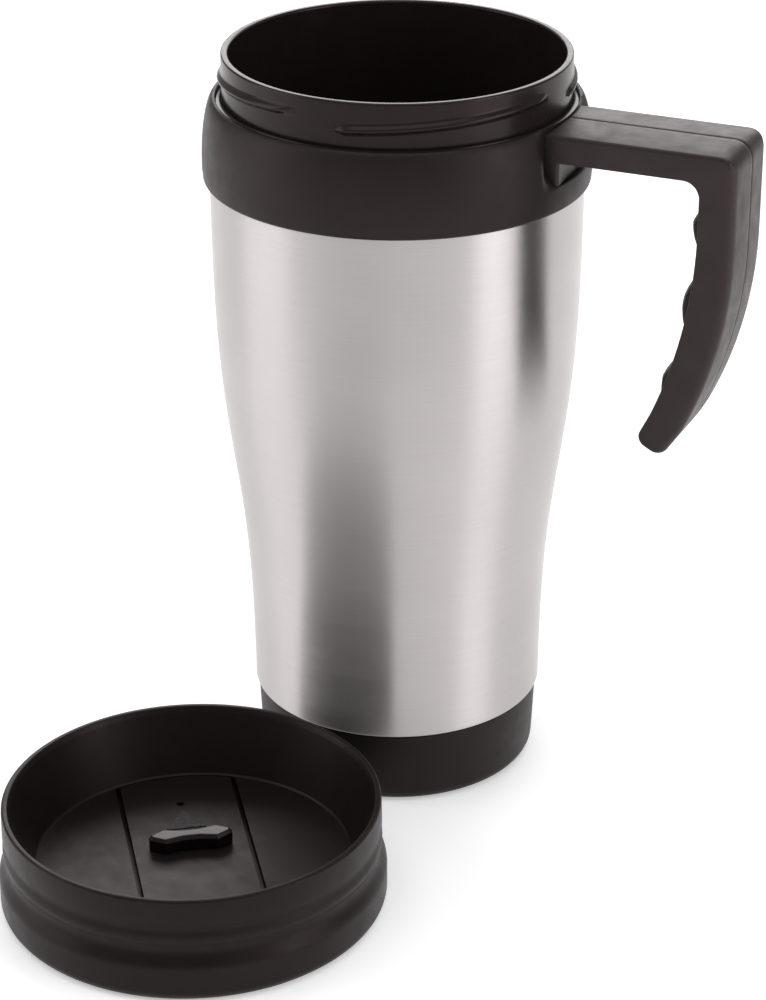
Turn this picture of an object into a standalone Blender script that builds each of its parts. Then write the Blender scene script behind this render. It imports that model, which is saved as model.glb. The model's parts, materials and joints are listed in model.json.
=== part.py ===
"""Insulated travel mug with a side handle and a separate screw-on lid.

The mug stands upright at the origin with its handle along +X. The lid lies right way up on
the same surface beside it. Lengths are in metres, +Z is up.
"""
import math

import bmesh
import bpy
from mathutils import Matrix, Vector

MM = 0.001

# ---- driving dimensions: mug body ---------------------------------------------------------
RIM_HEIGHT = 176.7 * MM          # drinking rim above the table
FOOT_RADIUS = 34.5 * MM          # steel sleeve, straight lower part
SHOULDER_RADIUS = 42.95 * MM     # steel sleeve, straight upper part
WAIST_HEIGHT = 78.0 * MM         # height where the sleeve is half way between the two
WAIST_SOFTNESS = 14.8 * MM       # how gently it swells there
SHELL_WALL = 0.6 * MM
SHELL_LIP_WIDTH = 2.4 * MM       # inward hem under the sleeve
INSULATION_THICKNESS = 2.6 * MM
LINER_WALL = 1.7 * MM
LINER_FLOOR_HEIGHT = 12.0 * MM   # underside of the liner above the table
LINER_FLOOR_ROUND = 6.0 * MM
LINER_SIDE_START = 6.0 * MM        # straight side begins this far above the base cup
LINER_SIDE_END = 4.0 * MM          # and ends this far below the sleeve's top

# ---- driving dimensions: base -------------------------------------------------------------
BASE_HEIGHT = 18.3 * MM
BASE_WALL = 1.9 * MM
BASE_FLOOR = 2.4 * MM
BASE_EDGE_ROUND = 3.4 * MM
BASE_TAPER = 0.9 * MM            # the cup narrows by this much towards the table
BASE_SETBACK = 0.65 * MM         # the sleeve stands proud of the cup
SPIGOT_HEIGHT = 5.0 * MM
PAD_RADIUS = 25.7 * MM
PAD_THICKNESS = 1.4 * MM
BASE_SEAL_HEIGHT = 2.4 * MM
COLLAR_SEAL_HEIGHT = 3.0 * MM

# ---- driving dimensions: neck and collar --------------------------------------------------
NECK_HEIGHT = 10.2 * MM          # threaded neck above the collar
NECK_STEP = 0.55 * MM            # the neck stands out from the liner's side
NECK_SHOULDER_STEP = 0.5 * MM    # the seat of the collar stands out from the neck
GROOVE_WIDTH = 1.5 * MM
GROOVE_DEPTH = 1.0 * MM
COLLAR_HEIGHT = 19.15 * MM
COLLAR_PROUD = 1.55 * MM         # the collar stands out from the sleeve
COLLAR_OVERLAP = 4.65 * MM       # the collar covers this much of the sleeve
COLLAR_TOP_INSET = 3.0 * MM      # the shoulder curves in by this much
COLLAR_TOP_ROUND = 14.5 * MM

# ---- driving dimensions: thread -----------------------------------------------------------
THREAD_STARTS = 4
THREAD_LEAD = 12.8 * MM
THREAD_NECK_RIDGE = 1.0 * MM
THREAD_NECK_SPAN = math.radians(76.0)
THREAD_LID_RIDGE = 0.9 * MM
THREAD_LID_SPAN = math.radians(40.0)
THREAD_CLEARANCE = 0.4 * MM      # ridge crest to the wall facing it
THREAD_START_HEIGHT = 3.8 * MM   # low end of a neck ridge above the collar
THREAD_DROP = 1.8 * MM           # lid ridge below the neck ridge that holds it
THREAD_START_ANGLE = math.radians(-87.0)

# ---- driving dimensions: handle -----------------------------------------------------------
HANDLE_WIDTH = 23.0 * MM
HANDLE_BELOW_COLLAR_TOP = 0.5 * MM
HANDLE_DROP = 73.2 * MM          # top of the arm to the tip of the grip
ARM_THICKNESS = 7.1 * MM
GRIP_DEPTH = 8.0 * MM
FINGER_ROOM = 30.7 * MM          # collar to the inside of the grip
BACK_BEND_RADIUS = 100.0 * MM
BACK_BEND_START = 23.0 * MM      # below the top of the arm
FRONT_BEND_RADIUS = 116.0 * MM
FRONT_BEND_START = 18.0 * MM
HANDLE_OUTER_CORNER = 2.8 * MM
HANDLE_INNER_CORNER = 3.8 * MM
HANDLE_TIP_ROUND = 2.6 * MM
HANDLE_TOP_CROWN = 0.8 * MM
HANDLE_BACK_CROWN = 0.4 * MM
HANDLE_EDGE_ROUND = 1.1 * MM
HANDLE_WALL = 2.0 * MM
FOOT_THICKNESS = 1.8 * MM
FOOT_HANG = 5.3 * MM             # the foot reaches this far below the arm
FOOT_SEAT_DEPTH = 3.5 * MM       # flat seat cut this deep into the collar
RIB_WIDTH = 1.8 * MM
RIB_DEPTH = 0.8 * MM
RIB_INSET = 0.8 * MM             # rib to the side of the foot
GRIP_INSERT_WIDTH = 13.6 * MM
GRIP_INSERT_DEPTH = 2.2 * MM
GRIP_END_MARGIN = 1.5 * MM
GRIP_SETBACK = 0.15 * MM          # flats between the bumps sit this far inside the grip
GRIP_BUMP_HEIGHT = 2.4 * MM
GRIP_BUMP_COUNT = 3
GRIP_BUMP_PITCH = 18.4 * MM
GRIP_BUMP_LENGTH = 12.5 * MM
GRIP_FIRST_BUMP = 19.0 * MM      # middle of the first bump below the top of the arm

# ---- driving dimensions: lid --------------------------------------------------------------
LID_AZIMUTH = math.radians(-99.7)
LID_TO_MUG_GAP = 7.6 * MM
LID_TURN = math.radians(124.1)   # direction in which the slider closes
LID_HEIGHT = 25.1 * MM
LID_RIM_WALL = 1.6 * MM
LID_RIM_PROUD = 0.5 * MM           # the rim stands out from the skirt's waist
LID_RIM_STRAIGHT = 1.5 * MM
LID_BAND_HEIGHT = 6.2 * MM       # plain band under the rim
LID_WAIST_WALL = 1.05 * MM
LID_WAIST_HEIGHT = 12.6 * MM       # narrowest place of the skirt
LID_BEAD_HEIGHT = 15.3 * MM        # bead round the skirt above it
LID_BEAD_RISE = 0.6 * MM
LID_BEAD_REACH = 2.6 * MM          # above and below its middle
LID_BELLY_HEIGHT = 8.0 * MM
LID_SKIRT_BULGE = 1.75 * MM
LID_EDGE_ROUND = 2.6 * MM
LID_WALL = 1.6 * MM
DECK_HEIGHT = 9.5 * MM
DECK_EDGE = 0.4 * MM               # small chamfer where the deck meets the bowl
DECK_FLOOR = 1.5 * MM            # under the slider's channel
PLUG_CLEARANCE = 0.7 * MM        # plug inside the neck
PLUG_WALL = 1.7 * MM
GASKET_THICKNESS = 1.2 * MM
GASKET_LIFT = 0.2 * MM           # gasket above the neck's rim when the lid is down
WEB_THICKNESS = 1.4 * MM

# ---- driving dimensions: slider -----------------------------------------------------------
SLIDER_WIDTH = 26.2 * MM
SLIDER_THICKNESS = 2.0 * MM
SLIDER_SIDE_GAP = 1.1 * MM
SLIDER_TRAVEL = 12.0 * MM
SLIDER_NEAR_END = 18.5 * MM      # behind the lid's centre
SLIDER_CORNER = 2.0 * MM
DRINK_HOLE_LENGTH = 16.0 * MM
DRINK_HOLE_WIDTH = 6.4 * MM
DRINK_HOLE_REACH = 29.2 * MM     # from the lid's centre
SEAL_MARGIN = 1.3 * MM
SEAL_THICKNESS = 0.8 * MM
VENT_RADIUS = 0.9 * MM
VENT_REACH = 23.0 * MM
ARROW_REACH = 12.0 * MM
ARROW_LENGTH = 7.8 * MM
ARROW_WIDTH = 9.6 * MM
ARROW_RISE = 0.3 * MM
KNOB_REACH = 4.5 * MM
KNOB_LENGTH = 19.0 * MM
KNOB_WIDTH = 5.6 * MM
KNOB_WAIST = 3.6 * MM
KNOB_HEIGHT = 3.3 * MM
KNOB_CHAMFER = 0.6 * MM
STEM_SIZE = 3.4 * MM
STEM_CLEARANCE = 0.3 * MM
CLIP_LENGTH = 12.0 * MM
CLIP_WIDTH = 8.0 * MM
CLIP_THICKNESS = 1.3 * MM

# ---- shared clearances and fineness -------------------------------------------------------
FIT_GAP = 0.3 * MM
SLIDE_GAP = 0.3 * MM
SEGMENTS = 48
MERGE = 0.00001
CUT_MARGIN = 5.0 * MM

# ---- sizes that follow from the driving dimensions ----------------------------------------
COLLAR_TOP = RIM_HEIGHT - NECK_HEIGHT
COLLAR_BOTTOM = COLLAR_TOP - COLLAR_HEIGHT
COLLAR_RADIUS = SHOULDER_RADIUS + COLLAR_PROUD
SHELL_TOP = COLLAR_BOTTOM + COLLAR_OVERLAP
SHELL_BOTTOM = BASE_HEIGHT + FIT_GAP
LINER_INSET = SHELL_WALL + INSULATION_THICKNESS + 2 * FIT_GAP
NECK_RADIUS = SHOULDER_RADIUS - LINER_INSET + NECK_STEP
NECK_BORE = NECK_RADIUS - LINER_WALL
LINER_SEAT_RADIUS = NECK_RADIUS + NECK_SHOULDER_STEP
LINER_SEAT_TOP = COLLAR_TOP - GROOVE_DEPTH
COLLAR_BORE = LINER_SEAT_RADIUS + FIT_GAP
BASE_RADIUS = FOOT_RADIUS - BASE_SETBACK + 0.15 * MM
SPIGOT_TOP = BASE_HEIGHT + SPIGOT_HEIGHT
HANDLE_TOP = COLLAR_TOP - HANDLE_BELOW_COLLAR_TOP
GRIP_INSIDE = COLLAR_RADIUS + FINGER_ROOM
GRIP_OUTSIDE = GRIP_INSIDE + GRIP_DEPTH
SEAT_X = COLLAR_RADIUS - FOOT_SEAT_DEPTH
SEAT_BOTTOM = HANDLE_TOP - ARM_THICKNESS - FOOT_HANG - FIT_GAP
SKIRT_BORE = NECK_RADIUS + THREAD_NECK_RIDGE + THREAD_CLEARANCE
SKIRT_WAIST_RADIUS = SKIRT_BORE + LID_WAIST_WALL
SKIRT_RADIUS = SKIRT_WAIST_RADIUS + LID_SKIRT_BULGE
LID_RIM_RADIUS = SKIRT_WAIST_RADIUS + LID_RIM_PROUD
PLUG_RADIUS = NECK_BORE - PLUG_CLEARANCE
DECK_RADIUS = PLUG_RADIUS - PLUG_WALL
CHANNEL_FLOOR = DECK_HEIGHT - SLIDER_THICKNESS - SLIDE_GAP
PLUG_BOTTOM = CHANNEL_FLOOR - DECK_FLOOR
GASKET_BOTTOM = NECK_HEIGHT + GASKET_LIFT
WEB_BOTTOM = GASKET_BOTTOM + GASKET_THICKNESS + FIT_GAP
BAND_BOTTOM = LID_HEIGHT - LID_BAND_HEIGHT
LID_DISTANCE = BASE_RADIUS + SKIRT_RADIUS + LID_TO_MUG_GAP
LID_CENTRE = Vector((math.cos(LID_AZIMUTH), math.sin(LID_AZIMUTH), 0.0)) * LID_DISTANCE


# ---- scene and naming ---------------------------------------------------------------------
def clear_scene():
    for obj in list(bpy.data.objects):
        bpy.data.objects.remove(obj, do_unlink=True)


def new_collection(name):
    collection = bpy.data.collections.new(name)
    bpy.context.scene.collection.children.link(collection)
    return collection


def new_material(name, color, roughness, metallic=0.0):
    material = bpy.data.materials.new(name)
    material.use_nodes = True
    shader = material.node_tree.nodes["Principled BSDF"]
    shader.inputs["Base Color"].default_value = (*color, 1.0)
    shader.inputs["Roughness"].default_value = roughness
    shader.inputs["Metallic"].default_value = metallic
    return material


def add_object(name, mesh, collection):
    obj = bpy.data.objects.new(name, mesh)
    collection.objects.link(obj)
    return obj


def add_cutter(name, mesh):
    obj = add_object(name, mesh, CUTTERS)
    obj.hide_render = True
    obj.display_type = "WIRE"
    return obj


def add_part(name, mesh, material):
    obj = add_object(name, mesh, PARTS)
    obj.data.materials.append(material)
    return obj


# ---- outlines -----------------------------------------------------------------------------
def arc(centre, radius, start, end, steps):
    """Points on a circle from one angle to another, both ends included."""
    points = []
    for step in range(steps + 1):
        angle = start + (end - start) * step / steps
        points.append((centre[0] + radius * math.cos(angle), centre[1] + radius * math.sin(angle)))
    return points


def rounded(corners, steps=4):
    """A closed outline from (x, y, radius) corners, each rounded by its radius."""
    outline = []
    count = len(corners)
    for index, (x, y, radius) in enumerate(corners):
        here = Vector((x, y))
        if radius <= 0.0:
            outline.append((x, y))
            continue
        before = (Vector(corners[index - 1][:2]) - here).normalized()
        after = (Vector(corners[(index + 1) % count][:2]) - here).normalized()
        half = before.angle(after) / 2
        reach = radius / math.tan(half)
        centre = here + (before + after).normalized() * (radius / math.sin(half))
        start = here + before * reach - centre
        turn = start.angle_signed(here + after * reach - centre)
        for step in range(steps + 1):
            spoke = start.copy()
            spoke.rotate(Matrix.Rotation(-turn * step / steps, 2))
            outline.append(tuple(centre + spoke))
    return outline


def body_radius(height):
    """Outer radius of the steel sleeve: a soft step from the foot to the shoulder."""
    step = 1.0 / (1.0 + math.exp((WAIST_HEIGHT - height) / WAIST_SOFTNESS))
    return FOOT_RADIUS + (SHOULDER_RADIUS - FOOT_RADIUS) * step


def body_profile(low, high, inset, steps):
    """Points on the sleeve's curve, moved in by inset, from high down to low."""
    heights = [high + (low - high) * step / steps for step in range(steps + 1)]
    return [(body_radius(height) - inset, height) for height in heights]


# ---- solids -------------------------------------------------------------------------------
def turned_mesh(name, profile, closed=True):
    mesh = bpy.data.meshes.new(name)
    edges = [(index, index + 1) for index in range(len(profile) - 1)]
    if closed:
        edges.append((len(profile) - 1, 0))
    mesh.from_pydata([(radius, 0.0, height) for radius, height in profile], edges, [])
    return mesh


def add_screw(obj, segments=SEGMENTS):
    screw = obj.modifiers.new("Turn", "SCREW")
    screw.axis = "Z"
    screw.angle = 2 * math.pi
    screw.steps = segments
    screw.render_steps = segments
    screw.use_merge_vertices = True
    screw.merge_threshold = MERGE
    return obj


def turned(name, profile, material, closed=True):
    """A part turned about Z from a (radius, height) outline that runs down its outer side."""
    return add_screw(add_part(name, turned_mesh(name, profile, closed), material))


def prism_mesh(name, outline, low, high):
    """A flat outline in X and Y, extruded along Z."""
    mesh = bpy.data.meshes.new(name)
    shape = bmesh.new()
    face = shape.faces.new([shape.verts.new((x, y, low)) for x, y in outline])
    face.normal_update()
    if face.normal.z > 0:
        face.normal_flip()
    raised = bmesh.ops.extrude_face_region(shape, geom=[face])["geom"]
    tops = [item for item in raised if isinstance(item, bmesh.types.BMVert)]
    bmesh.ops.translate(shape, verts=tops, vec=(0.0, 0.0, high - low))
    bmesh.ops.recalc_face_normals(shape, faces=shape.faces)
    shape.to_mesh(mesh)
    shape.free()
    return mesh


def box_mesh(name, low, high):
    mesh = bpy.data.meshes.new(name)
    shape = bmesh.new()
    bmesh.ops.create_cube(shape, size=1.0)
    size = [high[axis] - low[axis] for axis in range(3)]
    middle = [(high[axis] + low[axis]) / 2 for axis in range(3)]
    bmesh.ops.scale(shape, verts=shape.verts, vec=size)
    bmesh.ops.translate(shape, verts=shape.verts, vec=middle)
    shape.to_mesh(mesh)
    shape.free()
    return mesh


def swept_mesh(name, points, radii, thickness):
    """A tube along points, its radius scaled by radii, with closed ends."""
    curve = bpy.data.curves.new(name, "CURVE")
    curve.dimensions = "3D"
    curve.bevel_depth = thickness
    curve.bevel_resolution = 2
    curve.use_fill_caps = True
    spline = curve.splines.new("POLY")
    spline.points.add(len(points) - 1)
    for place, point, radius in zip(spline.points, points, radii):
        place.co = (*point, 1.0)
        place.radius = radius
    guide = add_cutter(name, curve)
    bpy.context.view_layer.update()
    mesh = bpy.data.meshes.new_from_object(guide.evaluated_get(bpy.context.evaluated_depsgraph_get()))
    bpy.data.objects.remove(guide, do_unlink=True)
    shape = bmesh.new()
    shape.from_mesh(mesh)
    bmesh.ops.remove_doubles(shape, verts=shape.verts, dist=MERGE)
    bmesh.ops.recalc_face_normals(shape, faces=shape.faces)
    shape.to_mesh(mesh)
    shape.free()
    return mesh


def combine(obj, tool, operation, name):
    boolean = obj.modifiers.new(name, "BOOLEAN")
    boolean.operation = operation
    boolean.solver = "EXACT"
    boolean.object = tool


def cut(obj, tool):
    combine(obj, tool, "DIFFERENCE", "Cut " + tool.name)


def join(obj, tool):
    combine(obj, tool, "UNION", "Join " + tool.name)


def add_bevel(obj, width, segments, angle=math.radians(40.0)):
    bevel = obj.modifiers.new("Rounded edges", "BEVEL")
    bevel.width = width
    bevel.segments = segments
    bevel.limit_method = "ANGLE"
    bevel.angle_limit = angle


def settle_parts():
    """Apply every modifier, so that flat faces stay flat and round ones are smooth."""
    bpy.context.view_layer.update()
    graph = bpy.context.evaluated_depsgraph_get()
    finished = {}
    for obj in PARTS.objects:
        if obj.type == "MESH":
            finished[obj] = bpy.data.meshes.new_from_object(obj.evaluated_get(graph))
    for obj, mesh in finished.items():
        mesh.name = obj.name
        obj.modifiers.clear()
        obj.data = mesh
        mesh.shade_smooth()
        mesh.set_sharp_from_angle(angle=math.radians(32.0))


# ---- thread -------------------------------------------------------------------------------
def thread_ridges(name, radius, thickness, span, first_angle, first_height, steps):
    """Right-hand helical ridges, one for each start, thinning out at both ends."""
    ridges = []
    for start in range(THREAD_STARTS):
        points = []
        radii = []
        for step in range(steps + 1):
            share = step / steps
            angle = first_angle + span * share + 2 * math.pi * start / THREAD_STARTS
            height = first_height + THREAD_LEAD * span * share / (2 * math.pi)
            points.append((radius * math.cos(angle), radius * math.sin(angle), height))
            radii.append(0.45 if step in (0, steps) else 1.0)
        ridges.append(add_cutter(f"{name}_{start + 1}", swept_mesh(name, points, radii, thickness)))
    return ridges


# ---- mug ----------------------------------------------------------------------------------
def make_outer_shell():
    hem_inner = body_radius(SHELL_BOTTOM) - SHELL_LIP_WIDTH
    outside = body_profile(SHELL_BOTTOM + SHELL_WALL, SHELL_TOP, 0.0, 13)
    inside = body_profile(SHELL_BOTTOM + SHELL_WALL, SHELL_TOP, SHELL_WALL, 13)
    profile = outside
    profile += [(body_radius(SHELL_BOTTOM) - SHELL_WALL / 2, SHELL_BOTTOM)]
    profile += [(hem_inner, SHELL_BOTTOM), (hem_inner, SHELL_BOTTOM + SHELL_WALL)]
    profile += inside[::-1]
    return turned("outer_shell", profile, BRUSHED_STEEL)


def liner_side(inset):
    """The liner's wall below the neck, from the collar's seat down to the floor's rounding."""
    low = SPIGOT_TOP + LINER_SIDE_START
    high = SHELL_TOP - LINER_SIDE_END
    side = body_profile(low, high, LINER_INSET + inset, 9)
    floor_radius = spigot_radius() - BASE_WALL - FIT_GAP - inset
    side.append((floor_radius, SPIGOT_TOP + FIT_GAP))
    return side, floor_radius


def spigot_radius():
    """Outside of the base cup's spigot, which stands inside the sleeve's hem."""
    return body_radius(SHELL_BOTTOM) - SHELL_LIP_WIDTH - FIT_GAP


def make_inner_liner():
    outside, outer_floor = liner_side(0.0)
    inside, inner_floor = liner_side(LINER_WALL)
    lip = LINER_WALL / 3
    low = LINER_FLOOR_HEIGHT
    round_height = low + LINER_WALL + LINER_FLOOR_ROUND
    profile = [(0.0, low + LINER_WALL)]
    profile += arc((inner_floor - LINER_FLOOR_ROUND, round_height),
                   LINER_FLOOR_ROUND, -math.pi / 2, 0.0, 4)
    profile += inside[::-1]
    profile += [(NECK_BORE, SHELL_TOP + FIT_GAP), (NECK_BORE, RIM_HEIGHT - lip)]
    profile += [(NECK_BORE + lip, RIM_HEIGHT), (NECK_RADIUS - lip, RIM_HEIGHT)]
    profile += [(NECK_RADIUS, RIM_HEIGHT - lip), (NECK_RADIUS, LINER_SEAT_TOP)]
    profile += [(LINER_SEAT_RADIUS, LINER_SEAT_TOP), (LINER_SEAT_RADIUS, SHELL_TOP + FIT_GAP)]
    profile += outside
    profile += arc((outer_floor - LINER_FLOOR_ROUND, low + LINER_FLOOR_ROUND),
                   LINER_FLOOR_ROUND, 0.0, -math.pi / 2, 4)
    profile += [(0.0, low)]
    liner = turned("inner_liner", profile, GLOSS_BLACK, closed=False)
    ridges = thread_ridges("neck_ridge", NECK_RADIUS, THREAD_NECK_RIDGE, THREAD_NECK_SPAN,
                           THREAD_START_ANGLE, COLLAR_TOP + THREAD_START_HEIGHT, 12)
    for ridge in ridges:
        join(liner, ridge)
    return liner


def make_insulation():
    low = SPIGOT_TOP + LINER_SIDE_START
    high = SHELL_TOP - LINER_SIDE_END
    outside = body_profile(low, high, SHELL_WALL + FIT_GAP, 9)
    inside = body_profile(low, high, LINER_INSET - FIT_GAP, 9)
    return turned("insulation_sleeve", outside + inside[::-1], FOAM)


def make_collar():
    top_radius = COLLAR_RADIUS - COLLAR_TOP_INSET
    groove_radius = NECK_RADIUS + GROOVE_WIDTH
    sleeve_bore = SHOULDER_RADIUS + FIT_GAP
    profile = [(groove_radius, COLLAR_TOP - 0.3 * MM), (groove_radius + 0.3 * MM, COLLAR_TOP)]
    shoulder = 7
    for step in range(shoulder + 1):
        angle = math.pi / 2 * (1 - step / shoulder)
        profile.append((top_radius + COLLAR_TOP_INSET * math.cos(angle),
                        COLLAR_TOP - COLLAR_TOP_ROUND * (1 - math.sin(angle)) - 0.15 * MM))
    profile += [(COLLAR_RADIUS, COLLAR_BOTTOM + 1.8 * MM)]
    profile += [(COLLAR_RADIUS - 0.25 * MM, COLLAR_BOTTOM + 0.7 * MM)]
    profile += [(COLLAR_RADIUS - 0.8 * MM, COLLAR_BOTTOM), (sleeve_bore, COLLAR_BOTTOM)]
    profile += [(sleeve_bore, SHELL_TOP + FIT_GAP), (COLLAR_BORE, SHELL_TOP + FIT_GAP)]
    profile += [(COLLAR_BORE, LINER_SEAT_TOP), (groove_radius, LINER_SEAT_TOP)]
    collar = turned("collar", profile, MATTE_BLACK)
    seat_low = (SEAT_X, -COLLAR_RADIUS, SEAT_BOTTOM)
    seat_high = (COLLAR_RADIUS + CUT_MARGIN, COLLAR_RADIUS, COLLAR_TOP + CUT_MARGIN)
    cut(collar, add_cutter("seat_cutter", box_mesh("seat_cutter", seat_low, seat_high)))
    for side in (-1, 1):
        edges = sorted((side * (rib_outer() + FIT_GAP), side * (rib_outer() - RIB_WIDTH - FIT_GAP)))
        low = (SEAT_X - RIB_DEPTH, edges[0], SEAT_BOTTOM)
        high = (SEAT_X + CUT_MARGIN, edges[1], COLLAR_TOP + CUT_MARGIN)
        name = "rib_cutter_left" if side > 0 else "rib_cutter_right"
        cut(collar, add_cutter(name, box_mesh(name, low, high)))
    return collar


def make_base():
    low_radius = BASE_RADIUS - BASE_TAPER
    floor = PAD_THICKNESS + BASE_FLOOR
    pad_hole = PAD_RADIUS + FIT_GAP
    profile = [(0.0, floor), (spigot_radius() - BASE_WALL, floor)]
    profile += [(spigot_radius() - BASE_WALL, SPIGOT_TOP), (spigot_radius(), SPIGOT_TOP)]
    profile += [(spigot_radius(), BASE_HEIGHT), (BASE_RADIUS - 0.3 * MM, BASE_HEIGHT)]
    profile += [(BASE_RADIUS, BASE_HEIGHT - 0.3 * MM)]
    profile += arc((low_radius - BASE_EDGE_ROUND, BASE_EDGE_ROUND),
                   BASE_EDGE_ROUND, 0.0, -math.pi / 2, 4)
    profile += [(pad_hole, 0.0), (pad_hole, PAD_THICKNESS + FIT_GAP)]
    profile += [(0.0, PAD_THICKNESS + FIT_GAP)]
    turned("base_cup", profile, MATTE_BLACK, closed=False)
    pad = [(0.0, PAD_THICKNESS), (PAD_RADIUS, PAD_THICKNESS), (PAD_RADIUS, 0.0), (0.0, 0.0)]
    turned("base_pad", pad, RUBBER, closed=False)


def make_ring(name, inner, outer, low, high):
    profile = [(outer, high), (outer, low), (inner, low), (inner, high)]
    turned(name, profile, SILICONE)


def make_mug_seals():
    """Hidden rings that keep water out of the insulation, under the collar and in the base."""
    high = SHELL_TOP
    inside = body_radius(high - COLLAR_SEAL_HEIGHT) - SHELL_WALL
    make_ring("collar_seal", LINER_SEAT_RADIUS + FIT_GAP, inside - FIT_GAP,
              high - COLLAR_SEAL_HEIGHT, high)
    low = SHELL_BOTTOM + SHELL_WALL + FIT_GAP
    inside = body_radius(low) - SHELL_WALL
    make_ring("base_seal", spigot_radius() + FIT_GAP, inside - FIT_GAP, low, low + BASE_SEAL_HEIGHT)


# ---- handle -------------------------------------------------------------------------------
def rib_outer():
    return HANDLE_WIDTH / 2 - RIB_INSET


def bend_x(radius, inside, bend_top, height):
    """X of a grip edge: straight down to bend_top, then a circle of the given radius."""
    drop = max(0.0, bend_top - height)
    return inside - radius + math.sqrt(radius * radius - drop * drop)


def back_x(height, inset=0.0):
    return bend_x(BACK_BEND_RADIUS, GRIP_OUTSIDE, HANDLE_TOP - BACK_BEND_START, height) - inset


def front_x(height, inset=0.0):
    return bend_x(FRONT_BEND_RADIUS, GRIP_INSIDE, HANDLE_TOP - FRONT_BEND_START, height) + inset


def grip_edge(edge, high, low, inset, steps):
    heights = [high + (low - high) * step / steps for step in range(steps + 1)]
    return [(edge(height, inset), height, 0.0) for height in heights]


def handle_outline(inset, with_foot):
    """Side view of the handle in X and Z, moved in by inset."""
    top = HANDLE_TOP - HANDLE_TOP_CROWN - inset
    under = HANDLE_TOP - ARM_THICKNESS + inset
    tip = HANDLE_TOP - HANDLE_DROP + inset
    tip_slant = 3.4 * MM
    root = SEAT_X + FIT_GAP
    bend_top = HANDLE_TOP - BACK_BEND_START
    inner_top = HANDLE_TOP - FRONT_BEND_START
    outer_corner = max(HANDLE_OUTER_CORNER - inset, 1.0 * MM)
    inner_corner = HANDLE_INNER_CORNER + inset
    tip_round = max(HANDLE_TIP_ROUND - inset, 0.6 * MM)
    corners = [(GRIP_OUTSIDE - inset, top, outer_corner)]
    corners += grip_edge(back_x, bend_top, tip + 2 * tip_slant, inset, 8)
    corners += [(back_x(tip, inset) - 0.3 * MM, tip, tip_round)]
    corners += [(front_x(tip + tip_slant, inset) - 0.2 * MM, tip + tip_slant, tip_round)]
    corners += grip_edge(front_x, tip + 3 * tip_slant, inner_top, inset, 8)
    corners += [(GRIP_INSIDE + inset, under, inner_corner)]
    if with_foot:
        foot_face = root + FOOT_THICKNESS
        corners += [(foot_face, under, 0.0), (foot_face, under - FOOT_HANG, 0.0)]
        corners += [(root, under - FOOT_HANG, 0.0), (root, top, 0.0)]
    else:
        hollow_root = root + FOOT_THICKNESS + HANDLE_WALL
        corners += [(hollow_root, under, 0.0), (hollow_root, top, 0.0)]
    return rounded(corners)


def crowned(point, amount):
    """Move a point of the outline out where it lies on the top or the back of the handle."""
    x, z = point
    top = HANDLE_TOP - HANDLE_TOP_CROWN
    rise = HANDLE_TOP_CROWN * amount if z > top - HANDLE_OUTER_CORNER else 0.0
    if z > top - HANDLE_OUTER_CORNER:
        rise *= min(1.0, (z - top + HANDLE_OUTER_CORNER) / HANDLE_OUTER_CORNER)
    middle = (back_x(z) + front_x(z)) / 2
    on_back = x > middle and z > HANDLE_TOP - HANDLE_DROP + HANDLE_TIP_ROUND
    push = HANDLE_BACK_CROWN * amount * min(1.0, max(0.0, (x - middle) / (back_x(z) - middle)))
    return (x + (push if on_back else 0.0), z + rise)


def handle_half_mesh(name, side):
    """Half of the handle, lofted from the seam out to its flat side."""
    half = HANDLE_WIDTH / 2
    sections = [(FIT_GAP / 2, 0.0), (half * 0.45, 0.0), (half * 0.75, 0.0)]
    for step in range(4):
        angle = math.pi / 2 * step / 3
        depth = half - HANDLE_EDGE_ROUND * (1 - math.sin(angle))
        sections.append((depth, HANDLE_EDGE_ROUND * (1 - math.cos(angle))))
    base = handle_outline(0.0, True)
    mesh = bpy.data.meshes.new(name)
    shape = bmesh.new()
    rings = []
    for depth, inset in sections:
        amount = 1.0 - (depth / half) ** 2
        ring = []
        for point, inner in zip(base, inset_outline(base, inset)):
            x, z = crowned(point, amount)
            ring.append(shape.verts.new((x + inner[0] - point[0], side * depth, z + inner[1] - point[1])))
        rings.append(ring)
    count = len(base)
    for near, far in zip(rings, rings[1:]):
        for index in range(count):
            after = (index + 1) % count
            shape.faces.new((near[index], near[after], far[after], far[index]))
    shape.faces.new(rings[0])
    shape.faces.new(rings[-1])
    bmesh.ops.recalc_face_normals(shape, faces=shape.faces)
    shape.to_mesh(mesh)
    shape.free()
    return mesh


def inset_outline(outline, inset):
    """Move each point of a closed outline inwards along its corner's bisector."""
    area = sum(a[0] * b[1] - b[0] * a[1] for a, b in zip(outline, outline[1:] + outline[:1]))
    turn = 1.0 if area > 0 else -1.0
    moved = []
    count = len(outline)
    for index, here in enumerate(outline):
        before = (Vector(here) - Vector(outline[index - 1])).normalized()
        after = (Vector(outline[(index + 1) % count]) - Vector(here)).normalized()
        normal = Vector((-before.y - after.y, before.x + after.x)).normalized() * turn
        lean = max(0.5, normal.dot(Vector((-after.y, after.x)) * turn))
        moved.append(tuple(Vector(here) + normal * inset / lean))
    return moved


def upright_prism(name, outline, low, high):
    """An outline in X and Z, extruded along Y."""
    mesh = prism_mesh(name, outline, -high, -low)
    mesh.transform(Matrix.Rotation(math.pi / 2, 4, "X"))
    return mesh


def grip_bump(height):
    """How far the finger grip stands out at a height."""
    for index in range(GRIP_BUMP_COUNT):
        centre = HANDLE_TOP - GRIP_FIRST_BUMP - GRIP_BUMP_PITCH * index
        away = abs(height - centre) / (GRIP_BUMP_LENGTH / 2)
        if away < 1.0:
            return GRIP_BUMP_HEIGHT * math.cos(away * math.pi / 2) ** 0.8
    return 0.0


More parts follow.
